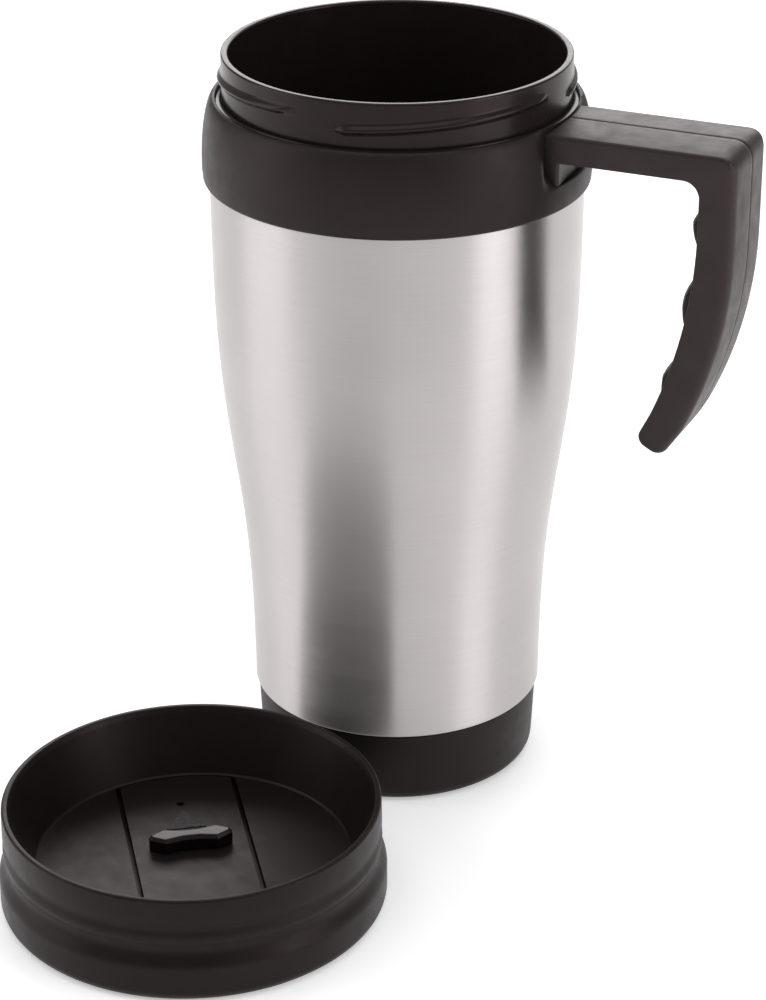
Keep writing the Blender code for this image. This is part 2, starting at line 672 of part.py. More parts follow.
def grip_insert_outline(extra):
    """Side view of the finger grip. extra widens it all round, for its seat."""
    high = HANDLE_TOP - ARM_THICKNESS - HANDLE_INNER_CORNER - 2.0 * MM + extra
    low = HANDLE_TOP - GRIP_FIRST_BUMP - GRIP_BUMP_PITCH * (GRIP_BUMP_COUNT - 1)
    low -= GRIP_BUMP_LENGTH / 2 + GRIP_END_MARGIN + extra
    steps = 36
    face = []
    back = []
    for step in range(steps + 1):
        height = high + (low - high) * step / steps
        lift = CUT_MARGIN if extra else grip_bump(height)
        face.append((front_x(height) - lift + GRIP_SETBACK, height))
        if step % 6 == 0:
            back.append((front_x(height) + GRIP_INSERT_DEPTH + extra, height))
    if extra:
        face = face[::6]
    return face + back[::-1]


def make_handle():
    hollow_outline = handle_outline(HANDLE_WALL, False)
    seat_outline = grip_insert_outline(FIT_GAP)
    seat_half = GRIP_INSERT_WIDTH / 2 + FIT_GAP
    hollow_depth = HANDLE_WIDTH / 2 - HANDLE_WALL
    hollow = add_cutter("handle_hollow", upright_prism("handle_hollow", hollow_outline,
                                                       -hollow_depth, hollow_depth))
    seat = add_cutter("grip_seat", upright_prism("grip_seat", seat_outline, -seat_half, seat_half))
    root = SEAT_X + FIT_GAP
    for side, name in ((1, "handle_half_left"), (-1, "handle_half_right")):
        half = add_part(name, handle_half_mesh(name, side), HANDLE_BLACK)
        edges = sorted((side * rib_outer(), side * (rib_outer() - RIB_WIDTH)))
        rib_low = (root - RIB_DEPTH, edges[0], HANDLE_TOP - ARM_THICKNESS - FOOT_HANG)
        rib_high = (root + FOOT_THICKNESS / 2, edges[1], HANDLE_TOP - 2.0 * MM)
        join(half, add_cutter(name + "_rib", box_mesh(name + "_rib", rib_low, rib_high)))
        cut(half, hollow)
        cut(half, seat)
    outline = grip_insert_outline(0.0)
    width = GRIP_INSERT_WIDTH / 2
    grip = add_part("finger_grip", upright_prism("finger_grip", outline, -width, width), GRIP_BLACK)
    add_bevel(grip, 0.7 * MM, 2, math.radians(60.0))


# ---- lid ----------------------------------------------------------------------------------
def bowl_radius(height):
    """Inside of the lid's bowl, a cone from the deck's edge out to the rim."""
    low = DECK_HEIGHT + DECK_EDGE
    high = LID_HEIGHT - LID_RIM_STRAIGHT
    low_radius = DECK_RADIUS + DECK_EDGE
    high_radius = LID_RIM_RADIUS - LID_RIM_WALL - 0.4 * MM
    return low_radius + (high_radius - low_radius) * (height - low) / (high - low)


def bowl_outside(height):
    return bowl_radius(height) + LID_WALL


def make_lid_bowl():
    rim_inner = LID_RIM_RADIUS - LID_RIM_WALL
    band_inner = LID_RIM_RADIUS - LID_WALL * 0.75
    slope = (bowl_radius(LID_HEIGHT) - bowl_radius(DECK_HEIGHT)) / (LID_HEIGHT - DECK_HEIGHT)
    apex = DECK_HEIGHT + (band_inner - 0.1 * MM - bowl_outside(DECK_HEIGHT)) / slope
    apex = min(apex, LID_HEIGHT - 2.2 * MM)
    profile = [(0.0, DECK_HEIGHT), (DECK_RADIUS, DECK_HEIGHT)]
    profile += [(bowl_radius(DECK_HEIGHT + DECK_EDGE), DECK_HEIGHT + DECK_EDGE)]
    rim_start = LID_HEIGHT - LID_RIM_STRAIGHT
    profile += [(bowl_radius(rim_start), rim_start)]
    profile += [(rim_inner, LID_HEIGHT - 0.5 * MM), (rim_inner + 0.4 * MM, LID_HEIGHT)]
    profile += [(LID_RIM_RADIUS - 0.5 * MM, LID_HEIGHT), (LID_RIM_RADIUS, LID_HEIGHT - 0.5 * MM)]
    profile += [(LID_RIM_RADIUS + 0.2 * MM, BAND_BOTTOM + 0.3 * MM)]
    profile += [(LID_RIM_RADIUS, BAND_BOTTOM), (band_inner, BAND_BOTTOM), (band_inner, apex)]
    profile += [(bowl_outside(WEB_BOTTOM + WEB_THICKNESS), WEB_BOTTOM + WEB_THICKNESS)]
    profile += [(bowl_outside(GASKET_BOTTOM), GASKET_BOTTOM), (PLUG_RADIUS, GASKET_BOTTOM - 0.4 * MM)]
    profile += [(PLUG_RADIUS, PLUG_BOTTOM + 0.5 * MM), (PLUG_RADIUS - 0.5 * MM, PLUG_BOTTOM)]
    profile += [(0.0, PLUG_BOTTOM)]
    bowl = turned("lid_bowl", profile, LID_BLACK, closed=False)
    cut(bowl, add_cutter("slider_channel", prism_mesh("slider_channel", channel_outline(),
                                                      CHANNEL_FLOOR, DECK_HEIGHT + CUT_MARGIN)))
    hole = stadium(DRINK_HOLE_REACH, DRINK_HOLE_LENGTH, DRINK_HOLE_WIDTH)
    cut(bowl, add_cutter("drink_hole", prism_mesh("drink_hole", hole, 0.0, DECK_HEIGHT)))
    vent = arc((VENT_REACH - SLIDER_TRAVEL, 0.0), VENT_RADIUS, 0.0, 2 * math.pi, 12)[:-1]
    cut(bowl, add_cutter("floor_vent", prism_mesh("floor_vent", vent, 0.0, DECK_HEIGHT)))
    slot_half = STEM_SIZE / 2 + STEM_CLEARANCE
    slot = box_mesh("stem_slot", (KNOB_REACH - SLIDER_TRAVEL - slot_half, -slot_half, 0.0),
                    (KNOB_REACH + slot_half, slot_half, DECK_HEIGHT))
    cut(bowl, add_cutter("stem_slot", slot))
    return bowl


def channel_outline():
    """The slider's channel, seen from above: it runs from edge to edge of the deck."""
    half = SLIDER_WIDTH / 2 + SLIDER_SIDE_GAP
    radius = DECK_RADIUS
    reach = math.asin(half / radius)
    far = arc((0.0, 0.0), radius, -reach, reach, 10)
    near = arc((0.0, 0.0), radius, math.pi - reach, math.pi + reach, 10)
    return far + near


def stadium(reach, length, width):
    """A long hole across the slider, centred at reach from the lid's centre."""
    radius = width / 2
    straight = length / 2 - radius
    ends = arc((reach, straight), radius, 0.0, math.pi, 8)
    return ends + arc((reach, -straight), radius, math.pi, 2 * math.pi, 8)


def make_lid_skirt():
    web_inner = bowl_outside(WEB_BOTTOM + WEB_THICKNESS) + FIT_GAP
    inner_wall = SKIRT_WAIST_RADIUS - LID_WAIST_WALL
    top = BAND_BOTTOM - FIT_GAP
    profile = [(inner_wall, top), (SKIRT_WAIST_RADIUS, top)]
    bead = 6
    for step in range(bead + 1):
        away = 1 - 2 * step / bead
        rise = LID_BEAD_RISE * (1 + math.cos(math.pi * away)) / 2
        profile.append((SKIRT_WAIST_RADIUS + rise, LID_BEAD_HEIGHT + LID_BEAD_REACH * away))
    sweep = 5
    for step in range(1, sweep + 1):
        share = step / sweep
        bulge = LID_SKIRT_BULGE * (1 - math.cos(math.pi * share)) / 2
        drop = (LID_WAIST_HEIGHT - LID_BELLY_HEIGHT) * share
        profile.append((SKIRT_WAIST_RADIUS + bulge, LID_WAIST_HEIGHT - drop))
    profile += arc((SKIRT_RADIUS - LID_EDGE_ROUND, LID_EDGE_ROUND),
                   LID_EDGE_ROUND, 0.0, -math.pi / 2, 4)
    profile += [(SKIRT_BORE + 0.4 * MM, 0.0), (SKIRT_BORE, 0.6 * MM), (SKIRT_BORE, WEB_BOTTOM)]
    profile += [(web_inner, WEB_BOTTOM), (web_inner, WEB_BOTTOM + WEB_THICKNESS)]
    profile += [(inner_wall - 0.6 * MM, WEB_BOTTOM + WEB_THICKNESS), (inner_wall, LID_BEAD_HEIGHT)]
    skirt = turned("lid_skirt", profile, LID_BLACK)
    offset = (THREAD_NECK_SPAN - THREAD_LID_SPAN) / 2
    height = THREAD_START_HEIGHT + THREAD_LEAD * offset / (2 * math.pi) - THREAD_DROP
    lid_to_mug = THREAD_START_ANGLE + offset
    for ridge in thread_ridges("lid_ridge", SKIRT_BORE, THREAD_LID_RIDGE, THREAD_LID_SPAN,
                               lid_to_mug, height, 7):
        join(skirt, ridge)
    return skirt


def make_lid_gasket():
    inner = bowl_outside(GASKET_BOTTOM + GASKET_THICKNESS) + FIT_GAP
    outer = SKIRT_BORE - FIT_GAP
    top = GASKET_BOTTOM + GASKET_THICKNESS
    make_ring("lid_gasket", inner, outer, GASKET_BOTTOM, top)


def slider_outline():
    """The sliding plate from above: its far end follows the deck's round edge."""
    half = SLIDER_WIDTH / 2
    radius = DECK_RADIUS - FIT_GAP
    reach = math.asin(half / radius)
    corners = [(x, y, 0.0) for x, y in arc((0.0, 0.0), radius, -reach, reach, 10)]
    corners += [(-SLIDER_NEAR_END, half, SLIDER_CORNER), (-SLIDER_NEAR_END, -half, SLIDER_CORNER)]
    return rounded(corners)


def make_slider():
    low = DECK_HEIGHT - SLIDER_THICKNESS
    plate = add_part("slider_plate", prism_mesh("slider_plate", slider_outline(), low, DECK_HEIGHT),
                     LID_BLACK)
    arrow = [(ARROW_REACH, -ARROW_WIDTH / 2), (ARROW_REACH + ARROW_LENGTH, 0.0),
             (ARROW_REACH, ARROW_WIDTH / 2)]
    join(plate, add_cutter("arrow", prism_mesh("arrow", arrow, DECK_HEIGHT - SLIDER_THICKNESS / 2,
                                               DECK_HEIGHT + ARROW_RISE)))
    vent = arc((VENT_REACH, 0.0), VENT_RADIUS, 0.0, 2 * math.pi, 12)[:-1]
    cut(plate, add_cutter("plate_vent", prism_mesh("plate_vent", vent, 0.0, LID_HEIGHT)))
    hole = STEM_SIZE / 2 + FIT_GAP
    stem_hole = box_mesh("stem_hole", (KNOB_REACH - hole, -hole, 0.0),
                         (KNOB_REACH + hole, hole, LID_HEIGHT))
    cut(plate, add_cutter("stem_hole", stem_hole))
    length = DRINK_HOLE_LENGTH + 2 * SEAL_MARGIN
    width = DRINK_HOLE_WIDTH + 2 * SEAL_MARGIN
    pocket = stadium(DRINK_HOLE_REACH, length + 2 * FIT_GAP, width + 2 * FIT_GAP)
    cut(plate, add_cutter("seal_pocket", prism_mesh("seal_pocket", pocket, low - CUT_MARGIN,
                                                    low + SEAL_THICKNESS + FIT_GAP)))
    pad = stadium(DRINK_HOLE_REACH, length, width)
    add_part("slider_seal", prism_mesh("slider_seal", pad, low, low + SEAL_THICKNESS), SILICONE)


def knob_outline():
    """Bow-tie seen from above: pointed wide ends and a narrow waist."""
    end = KNOB_LENGTH / 2
    wide = KNOB_WIDTH / 2
    waist = KNOB_WAIST / 2
    shoulder = end * 0.7
    tip = wide * 0.36
    right = [(-tip, end), (-wide, shoulder), (-waist, shoulder * 0.25)]
    left = [(-waist, -shoulder * 0.25), (-wide, -shoulder), (-tip, -end)]
    back = [(-x, y) for x, y in (right + left)[::-1]]
    return [(KNOB_REACH + x, y) for x, y in right + left + back]


def make_knob():
    low = DECK_HEIGHT + FIT_GAP
    knob = add_part("slider_knob", prism_mesh("slider_knob", knob_outline(), low, low + KNOB_HEIGHT),
                    GLOSS_BLACK)
    add_bevel(knob, KNOB_CHAMFER, 1)
    half = STEM_SIZE / 2
    stem_bottom = PLUG_BOTTOM - FIT_GAP - CLIP_THICKNESS
    stem = box_mesh("knob_stem", (KNOB_REACH - half, -half, stem_bottom),
                    (KNOB_REACH + half, half, low + KNOB_HEIGHT / 2))
    join(knob, add_cutter("knob_stem", stem))
    clip_top = PLUG_BOTTOM - FIT_GAP
    clip = add_part("slider_clip", box_mesh("slider_clip", (KNOB_REACH - CLIP_WIDTH / 2, -CLIP_LENGTH / 2,
                                                            clip_top - CLIP_THICKNESS),
                                            (KNOB_REACH + CLIP_WIDTH / 2, CLIP_LENGTH / 2, clip_top)),
                    LID_BLACK)
    hole = half + FIT_GAP
    cut(clip, add_cutter("clip_hole", box_mesh("clip_hole", (KNOB_REACH - hole, -hole, 0.0),
                                               (KNOB_REACH + hole, hole, DECK_HEIGHT))))


def place_lid(first_part, first_cutter):
    """Stand the lid's pieces on an empty beside the mug, turned to face its own way."""
    stand = bpy.data.objects.new("lid_origin", None)
    PARTS.objects.link(stand)
    stand.location = LID_CENTRE
    stand.rotation_euler = (0.0, 0.0, LID_TURN)
    pieces = list(PARTS.objects)[first_part:] + list(CUTTERS.objects)[first_cutter:]
    for piece in pieces:
        if piece is not stand:
            piece.parent = stand


clear_scene()
PARTS = new_collection("travel_mug")
CUTTERS = new_collection("travel_mug_cutters")

BRUSHED_STEEL = new_material("brushed_steel", (0.62, 0.60, 0.58), 0.32, 1.0)
GLOSS_BLACK = new_material("gloss_black", (0.012, 0.010, 0.010), 0.18)
MATTE_BLACK = new_material("matte_black", (0.030, 0.026, 0.026), 0.55)
HANDLE_BLACK = new_material("handle_black", (0.034, 0.030, 0.030), 0.50)
GRIP_BLACK = new_material("grip_black", (0.030, 0.027, 0.027), 0.60)
LID_BLACK = new_material("lid_black", (0.024, 0.020, 0.020), 0.42)
RUBBER = new_material("rubber", (0.020, 0.020, 0.020), 0.85)
SILICONE = new_material("silicone", (0.10, 0.10, 0.10), 0.60)
FOAM = new_material("foam", (0.80, 0.79, 0.74), 0.90)

make_outer_shell()
make_inner_liner()
make_insulation()
make_collar()
make_base()
make_mug_seals()
make_handle()

MUG_PARTS = len(PARTS.objects)
MUG_CUTTERS = len(CUTTERS.objects)
make_lid_bowl()
make_lid_skirt()
make_lid_gasket()
make_slider()
make_knob()
place_lid(MUG_PARTS, MUG_CUTTERS)
settle_parts()
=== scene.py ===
"""Looks of the insulated travel mug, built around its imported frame."""
import json
import math

import bmesh
import bpy
from mathutils import Matrix, Vector


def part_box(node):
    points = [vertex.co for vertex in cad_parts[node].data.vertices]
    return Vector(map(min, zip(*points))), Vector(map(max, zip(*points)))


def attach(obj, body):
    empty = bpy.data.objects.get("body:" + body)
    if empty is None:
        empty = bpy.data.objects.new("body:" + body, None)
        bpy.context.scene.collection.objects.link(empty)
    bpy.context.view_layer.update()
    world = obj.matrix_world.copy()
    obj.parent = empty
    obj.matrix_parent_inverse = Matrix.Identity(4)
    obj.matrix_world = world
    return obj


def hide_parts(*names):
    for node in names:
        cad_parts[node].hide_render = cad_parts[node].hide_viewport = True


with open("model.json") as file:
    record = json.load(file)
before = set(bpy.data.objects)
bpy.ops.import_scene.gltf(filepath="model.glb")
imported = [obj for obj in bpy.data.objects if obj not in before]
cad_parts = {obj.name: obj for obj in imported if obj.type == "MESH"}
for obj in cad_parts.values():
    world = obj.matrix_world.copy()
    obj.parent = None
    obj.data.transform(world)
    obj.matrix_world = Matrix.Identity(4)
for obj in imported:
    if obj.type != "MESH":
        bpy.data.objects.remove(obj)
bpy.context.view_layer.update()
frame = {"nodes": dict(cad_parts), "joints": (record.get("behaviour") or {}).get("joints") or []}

MM = 0.001
FIT_GAP = 0.3 * MM                # clearance between pieces that meet


# ---- places taken from the frame ----------------------------------------------------------
def low_corner(node):
    return Vector(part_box(node)[0])


def high_corner(node):
    return Vector(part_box(node)[1])


def joint_axis(name):
    for joint in frame["joints"]:
        if joint["name"] == name:
            return Vector(joint["axis"])
    raise KeyError(name)


RIM_TOP = high_corner("inner_liner").z
COLLAR_TOP = high_corner("collar").z
COLLAR_BOTTOM = low_corner("collar").z
COLLAR_RADIUS = -low_corner("collar").x
SHELL_TOP = high_corner("outer_shell").z
SHELL_BOTTOM = low_corner("outer_shell").z
BASE_TOP = SHELL_BOTTOM - FIT_GAP
BASE_RADIUS = high_corner("base_cup").x
HANDLE_TOP = high_corner("handle_half_left").z
HANDLE_TIP = low_corner("handle_half_left").z
HANDLE_HALF = high_corner("handle_half_left").y
LID_LOW = low_corner("lid_skirt")
LID_HIGH = high_corner("lid_skirt")
LID_CENTRE = Vector(((LID_LOW.x + LID_HIGH.x) / 2, (LID_LOW.y + LID_HIGH.y) / 2, 0.0))
SKIRT_RADIUS = (LID_HIGH.x - LID_LOW.x) / 2
LID_TOP = high_corner("lid_bowl").z
SLIDE_AXIS = joint_axis("slider_travel")
LID_TURN = math.atan2(-SLIDE_AXIS.y, -SLIDE_AXIS.x)

# ---- mug sizes that the frame's boxes don't give ------------------------------------------
FOOT_RADIUS = 34.5 * MM
SHOULDER_RADIUS = 42.95 * MM
WAIST_HEIGHT = 78.0 * MM
WAIST_SOFTNESS = 14.8 * MM
SHELL_WALL = 0.6 * MM
HEM_RADIUS = 0.55 * MM
HEM_DEPTH = 2.4 * MM
NECK_RADIUS = 39.7 * MM
NECK_BORE = 38.0 * MM
LINER_SEAT_RADIUS = 40.2 * MM
LINER_INSET = 3.8 * MM
LINER_FLOOR_RADIUS = 29.8 * MM
LINER_FLOOR_ROUND = 6.0 * MM
LINER_FLOOR_TOP = BASE_TOP + 5.3 * MM
LINER_SIDE_LOW = BASE_TOP + 11.0 * MM
LINER_SIDE_HIGH = SHELL_TOP - 4.0 * MM
GROOVE_RADIUS = 41.2 * MM
GROOVE_DEPTH = 1.0 * MM
COLLAR_LIP_RADIUS = 40.5 * MM
FLANGE_RADIUS = 41.05 * MM
FLANGE_THICKNESS = 0.6 * MM
FLANGE_CLEARANCE = 0.15 * MM
POCKET_RADIUS = 41.35 * MM
POCKET_HALF = 11.6 * MM
POCKET_FLARE = 16.5 * MM
POCKET_FADE_LOW = 153.0 * MM
POCKET_FADE_HIGH = 157.5 * MM
SHOULDER_START = 152.0 * MM
SHOULDER_INSET = 3.0 * MM
POCKET_LEDGE = 153.75 * MM
POCKET_LEDGE_ROUND = 0.4 * MM
BASE_HOLE_RADIUS = 26.0 * MM
BASE_HOLE_DEPTH = 1.7 * MM
BASE_FLOOR = 3.8 * MM
BASE_FOOT_ROUND = 3.3 * MM
BASE_FOOT_INSET = 0.9 * MM
SPIGOT_INSET = 2.7 * MM
SPIGOT_WALL = 1.9 * MM
SPIGOT_TOP = BASE_TOP + 5.0 * MM
THREAD_STARTS = 4
THREAD_LEAD = 12.8 * MM
THREAD_SPAN = math.radians(76.0)
THREAD_FIRST = math.radians(-87.0)
THREAD_RISE = 3.8 * MM            # the thread's start above the collar
NECK_RIDGE_HEIGHT = 1.0 * MM
RIDGE_BLUNT_END = 0.05            # shares of a ridge's run
RIDGE_RUN_OUT = 0.10
RIDGE_SPREAD = 1.37               # half its width and its root, as shares of its height
RIDGE_ROOT = 0.35

# ---- handle sizes -------------------------------------------------------------------------
ARM_THICKNESS = 7.1 * MM
GRIP_INSIDE = 75.2 * MM
GRIP_OUTSIDE = 83.2 * MM
BACK_BEND = 100.0 * MM
BACK_BEND_START = 23.0 * MM
FRONT_BEND = 116.0 * MM
FRONT_BEND_START = 18.0 * MM
TOP_CROWN = 0.8 * MM
BACK_CROWN = 0.4 * MM
BACK_CORNER = 3.8 * MM
TOP_EDGE_ROUND = 0.7 * MM
BACK_EDGE_ROUND = 2.4 * MM
TIP_LIFT = 0.95 * MM
TIP_ROUND = 2.6 * MM
TIP_SLANT = 3.4 * MM
TIP_BACK_INSET = 0.7 * MM
TIP_FRONT_INSET = 0.2 * MM
BACK_END = 6.8 * MM               # the long curves end this far above the tip
FRONT_END = 10.2 * MM
ARM_CORNER = 3.8 * MM
FOOT_ROOT = 40.1 * MM
FOOT_FACE = 43.1 * MM
FOOT_HANG = 5.3 * MM
FOOT_BACK_RADIUS = 41.5 * MM
SEAM_HALF = 0.09 * MM
GRIP_HALF = 7.6 * MM
GRIP_DEPTH = 2.2 * MM
GRIP_PROUD = 0.35 * MM
GRIP_SIDE_SINK = 0.3 * MM
BUMP_TOP = 155.0 * MM
BUMP_BOTTOM = 102.5 * MM
BUMPS = (                        # middle, length and rise of each finger bump
    (147.0 * MM, 12.5 * MM, 3.0 * MM),
    (128.8 * MM, 13.5 * MM, 2.9 * MM),
    (109.6 * MM, 10.0 * MM, 2.0 * MM),
)

# ---- lid sizes ----------------------------------------------------------------------------
BAND_RADIUS = 42.65 * MM
BAND_BOTTOM = 18.9 * MM
BAND_WALL = 1.2 * MM
BAND_SHELF = 19.6 * MM
BOWL_TOP_RADIUS = 40.65 * MM
BOWL_WALL = 1.6 * MM
WAIST_RADIUS = 42.15 * MM
SKIRT_WAIST_HEIGHT = 12.6 * MM
BELLY_HEIGHT = 8.0 * MM
BEAD_HEIGHT = 15.3 * MM
BEAD_REACH = 2.6 * MM
BEAD_RISE = 0.6 * MM
DECK_EDGE = 0.4 * MM
DECK_HEIGHT = 9.5 * MM
DECK_RADIUS = 35.6 * MM
PLUG_RADIUS = 37.3 * MM
CHANNEL_FLOOR = 7.2 * MM
CHANNEL_CUT_TOP = 15.0 * MM
PLUG_BOTTOM = 5.7 * MM
PLUG_SHOULDER = 10.4 * MM
PLUG_TOP = 10.0 * MM
SKIRT_BORE = 41.1 * MM
SKIRT_GAP = 0.1 * MM
SKIRT_FOOT_ROUND = 2.8 * MM
LID_THREAD_OFFSET = math.radians(18.0)
LID_THREAD_SPAN = math.radians(40.0)
LID_THREAD_DROP = 1.8 * MM
LID_RIDGE_HEIGHT = 0.9 * MM
WEB_LOW = 11.9 * MM
WEB_HIGH = 13.3 * MM
SLIDER_HALF = 13.1 * MM
CHANNEL_HALF = 14.2 * MM
SLIDER_END = -18.5 * MM
KNOB_REACH = 4.5 * MM             # reaches run from the lid's centre towards the drinking hole
KNOB_HALF_LENGTH = 9.5 * MM
KNOB_SHOULDER = 6.0 * MM
KNOB_HALF_WIDTH = 2.8 * MM
KNOB_WAIST = 1.85 * MM
KNOB_TIP = 0.6 * MM
STEM_HALF = 1.7 * MM
STEM_HOLE_HALF = 2.0 * MM
STEM_SLOT_START = -9.5 * MM
STEM_SLOT_END = 6.5 * MM
DRINK_REACH = 29.2 * MM
DRINK_LENGTH = 16.0 * MM
DRINK_WIDTH = 6.4 * MM
PAD_MARGIN = 3.2 * MM             # the pad's pocket is this much longer and wider than the hole
PAD_POCKET_DEPTH = 1.1 * MM
VENT_RADIUS = 0.9 * MM
DECK_VENT_REACH = 11.0 * MM
SLIDER_VENT_REACH = 23.0 * MM
ARROW_START = 12.0 * MM
ARROW_END = 19.8 * MM
ARROW_HALF = 4.8 * MM
ARROW_ROUND = 0.3 * MM
ARROW_RISE = 0.22 * MM
ARROW_ROOT = 0.4 * MM


# ---- outlines -----------------------------------------------------------------------------
def arc(centre, radius, start, end, steps):
    points = []
    for step in range(steps + 1):
        angle = start + (end - start) * step / steps
        points.append((centre[0] + radius * math.cos(angle), centre[1] + radius * math.sin(angle)))
    return points


def rounded(corners, steps=6):
    """A closed outline from (x, y, radius) corners, each rounded by its radius."""
    outline = []
    count = len(corners)
    for index, (x, y, radius) in enumerate(corners):
        if radius <= 0.0:
            outline.append((x, y))
            continue
        here = Vector((x, y))
        before = (Vector(corners[index - 1][:2]) - here).normalized()
        after = (Vector(corners[(index + 1) % count][:2]) - here).normalized()
        half = before.angle(after) / 2
        reach = radius / math.tan(half)
        centre = here + (before + after).normalized() * (radius / math.sin(half))
        start = here + before * reach - centre
        turn = start.angle_signed(here + after * reach - centre)
        for step in range(steps + 1):
            spoke = start.copy()
            spoke.rotate(Matrix.Rotation(-turn * step / steps, 2))
            outline.append(tuple(centre + spoke))
    return outline


def circle(reach, radius, steps):
    """An outline about a point on X."""
    return arc((reach, 0.0), radius, 0.0, 2 * math.pi, steps)[:-1]


def rectangle(low_x, high_x, half):
    return [(low_x, -half), (high_x, -half), (high_x, half), (low_x, half)]


def smoothstep(value):
    value = min(1.0, max(0.0, value))
    return value * value * (3.0 - 2.0 * value)


def body_radius(height):
    """The steel body's radius: a smooth swell from the foot up to the shoulder."""
    step = 1.0 / (1.0 + math.exp((WAIST_HEIGHT - height) / WAIST_SOFTNESS))
    return FOOT_RADIUS + (SHOULDER_RADIUS - FOOT_RADIUS) * step


def body_side(low, high, inset, steps):
    heights = [low + (high - low) * step / steps for step in range(steps + 1)]
    return [(body_radius(height) - inset, height) for height in heights]


# ---- meshes -------------------------------------------------------------------------------
def piece_from(name, shape, material, sharp=30.0):
    bmesh.ops.recalc_face_normals(shape, faces=shape.faces)
    mesh = bpy.data.meshes.new(name)
    shape.to_mesh(mesh)
    shape.free()
    mesh.materials.append(material)
    mesh.shade_smooth()
    mesh.set_sharp_from_angle(angle=math.radians(sharp))
    piece = bpy.data.objects.new(name, mesh)
    bpy.context.scene.collection.objects.link(piece)
    return piece


def turned_shape(profile, segments, radius_at=None):
    """A bmesh turned about Z from a closed (radius, height) outline."""
    shape = bmesh.new()
    rings = []
    for radius, height in profile:
        if radius < 1e-7:
            rings.append([shape.verts.new((0.0, 0.0, height))])
            continue
        ring = []
        for step in range(segments):
            angle = 2 * math.pi * step / segments
            here = radius_at(radius, height, angle) if radius_at else radius
            point = (here * math.cos(angle), here * math.sin(angle), height)
            ring.append(shape.verts.new(point))
        rings.append(ring)
    closed = profile[0][0] > 1e-7
    pairs = list(zip(rings, rings[1:]))
    if closed:
        pairs.append((rings[-1], rings[0]))
    for near, far in pairs:
        for step in range(segments):
            after = (step + 1) % segments
            if len(near) == 1:
                shape.faces.new((near[0], far[step], far[after]))
            elif len(far) == 1:
                shape.faces.new((near[step], far[0], near[after]))
            else:
                shape.faces.new((near[step], far[step], far[after], near[after]))
    return shape


def turned(name, profile, material, segments=256, sharp=30.0, radius_at=None):
    return piece_from(name, turned_shape(profile, segments, radius_at), material, sharp)


def prism_shape(outline, low, high):
    shape = bmesh.new()
    bottom = [shape.verts.new((x, y, low)) for x, y in outline]
    top = [shape.verts.new((x, y, high)) for x, y in outline]
    shape.faces.new(bottom[::-1])
    shape.faces.new(top)
    count = len(outline)
    for index in range(count):
        after = (index + 1) % count
        shape.faces.new((bottom[index], bottom[after], top[after], top[index]))
    return shape


def close_rings(shape, rings):
    """Skin rings of one length and close both ends."""
    count = len(rings[0])
    for near, far in zip(rings, rings[1:]):
        for index in range(count):
            after = (index + 1) % count
            shape.faces.new((near[index], near[after], far[after], far[index]))
    shape.faces.new(rings[0])
    shape.faces.new(rings[-1])


def carve(piece, cutters):
    """Take closed bmesh shapes out of a piece."""
    for number, shape in enumerate(cutters):
        tool = piece_from(f"{piece.name}_tool_{number}", shape, piece.data.materials[0])
        boolean = piece.modifiers.new("Carve", "BOOLEAN")
        boolean.operation = "DIFFERENCE"
        boolean.solver = "EXACT"
        boolean.object = tool
        apply_modifiers(piece)
        bpy.data.objects.remove(tool, do_unlink=True)


def apply_modifiers(piece, sharp=30.0):
    """Bake the modifiers. sharp=None keeps the normals that they left."""
    bpy.context.view_layer.update()
    graph = bpy.context.evaluated_depsgraph_get()
    mesh = bpy.data.meshes.new_from_object(piece.evaluated_get(graph))
    piece.modifiers.clear()
    piece.data = mesh
    if sharp is not None:
        mesh.shade_smooth()
        mesh.set_sharp_from_angle(angle=math.radians(sharp))


def soften(piece, width, segments=3, angle=35.0):
    bevel = piece.modifiers.new("Soft edges", "BEVEL")
    bevel.width = width
    bevel.segments = segments
    bevel.limit_method = "ANGLE"
    bevel.angle_limit = math.radians(angle)
    piece.data.set_sharp_from_angle(angle=math.pi)
    weighted = piece.modifiers.new("Flat faces stay flat", "WEIGHTED_NORMAL")
    weighted.keep_sharp = False
    apply_modifiers(piece, None)


def to_lid(piece):
    """Move a piece made about the lid's own centre to where the lid lies."""
    lid_place = Matrix.Translation(LID_CENTRE) @ Matrix.Rotation(LID_TURN, 4, "Z")
    piece.data.transform(lid_place)
    return piece


def place(piece, body, slot, *nodes):
    """Hang a piece on its body and hide the CAD nodes that it stands in for. slot is not used."""
    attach(piece, body)
    if nodes:
        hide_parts(*nodes)
    return piece


# ---- materials ----------------------------------------------------------------------------
UNSTRETCHED = (1.0, 1.0, 1.0)


def new_material(name):
    material = bpy.data.materials.new(name)
    material.use_nodes = True
    nodes = material.node_tree.nodes
    return material, nodes, material.node_tree.links, nodes["Principled BSDF"]


def mapped(nodes, links, scale):
    """Object coordinates stretched by scale, in features per metre."""
    coordinates = nodes.new("ShaderNodeTexCoord")
    mapping = nodes.new("ShaderNodeMapping")
    mapping.inputs["Scale"].default_value = scale
    links.new(coordinates.outputs["Object"], mapping.inputs["Vector"])
    return mapping.outputs["Vector"]


def noise(nodes, links, vector, scale, detail=3.0, rough=0.55):
    texture = nodes.new("ShaderNodeTexNoise")
    texture.inputs["Scale"].default_value = scale
    texture.inputs["Detail"].default_value = detail
    texture.inputs["Roughness"].default_value = rough
    links.new(vector, texture.inputs["Vector"])
    return texture.outputs["Fac"]


def spread(nodes, links, value, low, high, from_low=0.3, from_high=0.7):
    ranged = nodes.new("ShaderNodeMapRange")
    ranged.inputs["From Min"].default_value = from_low
    ranged.inputs["From Max"].default_value = from_high
    ranged.inputs["To Min"].default_value = low
    ranged.inputs["To Max"].default_value = high
    links.new(value, ranged.inputs["Value"])
    return ranged.outputs["Result"]


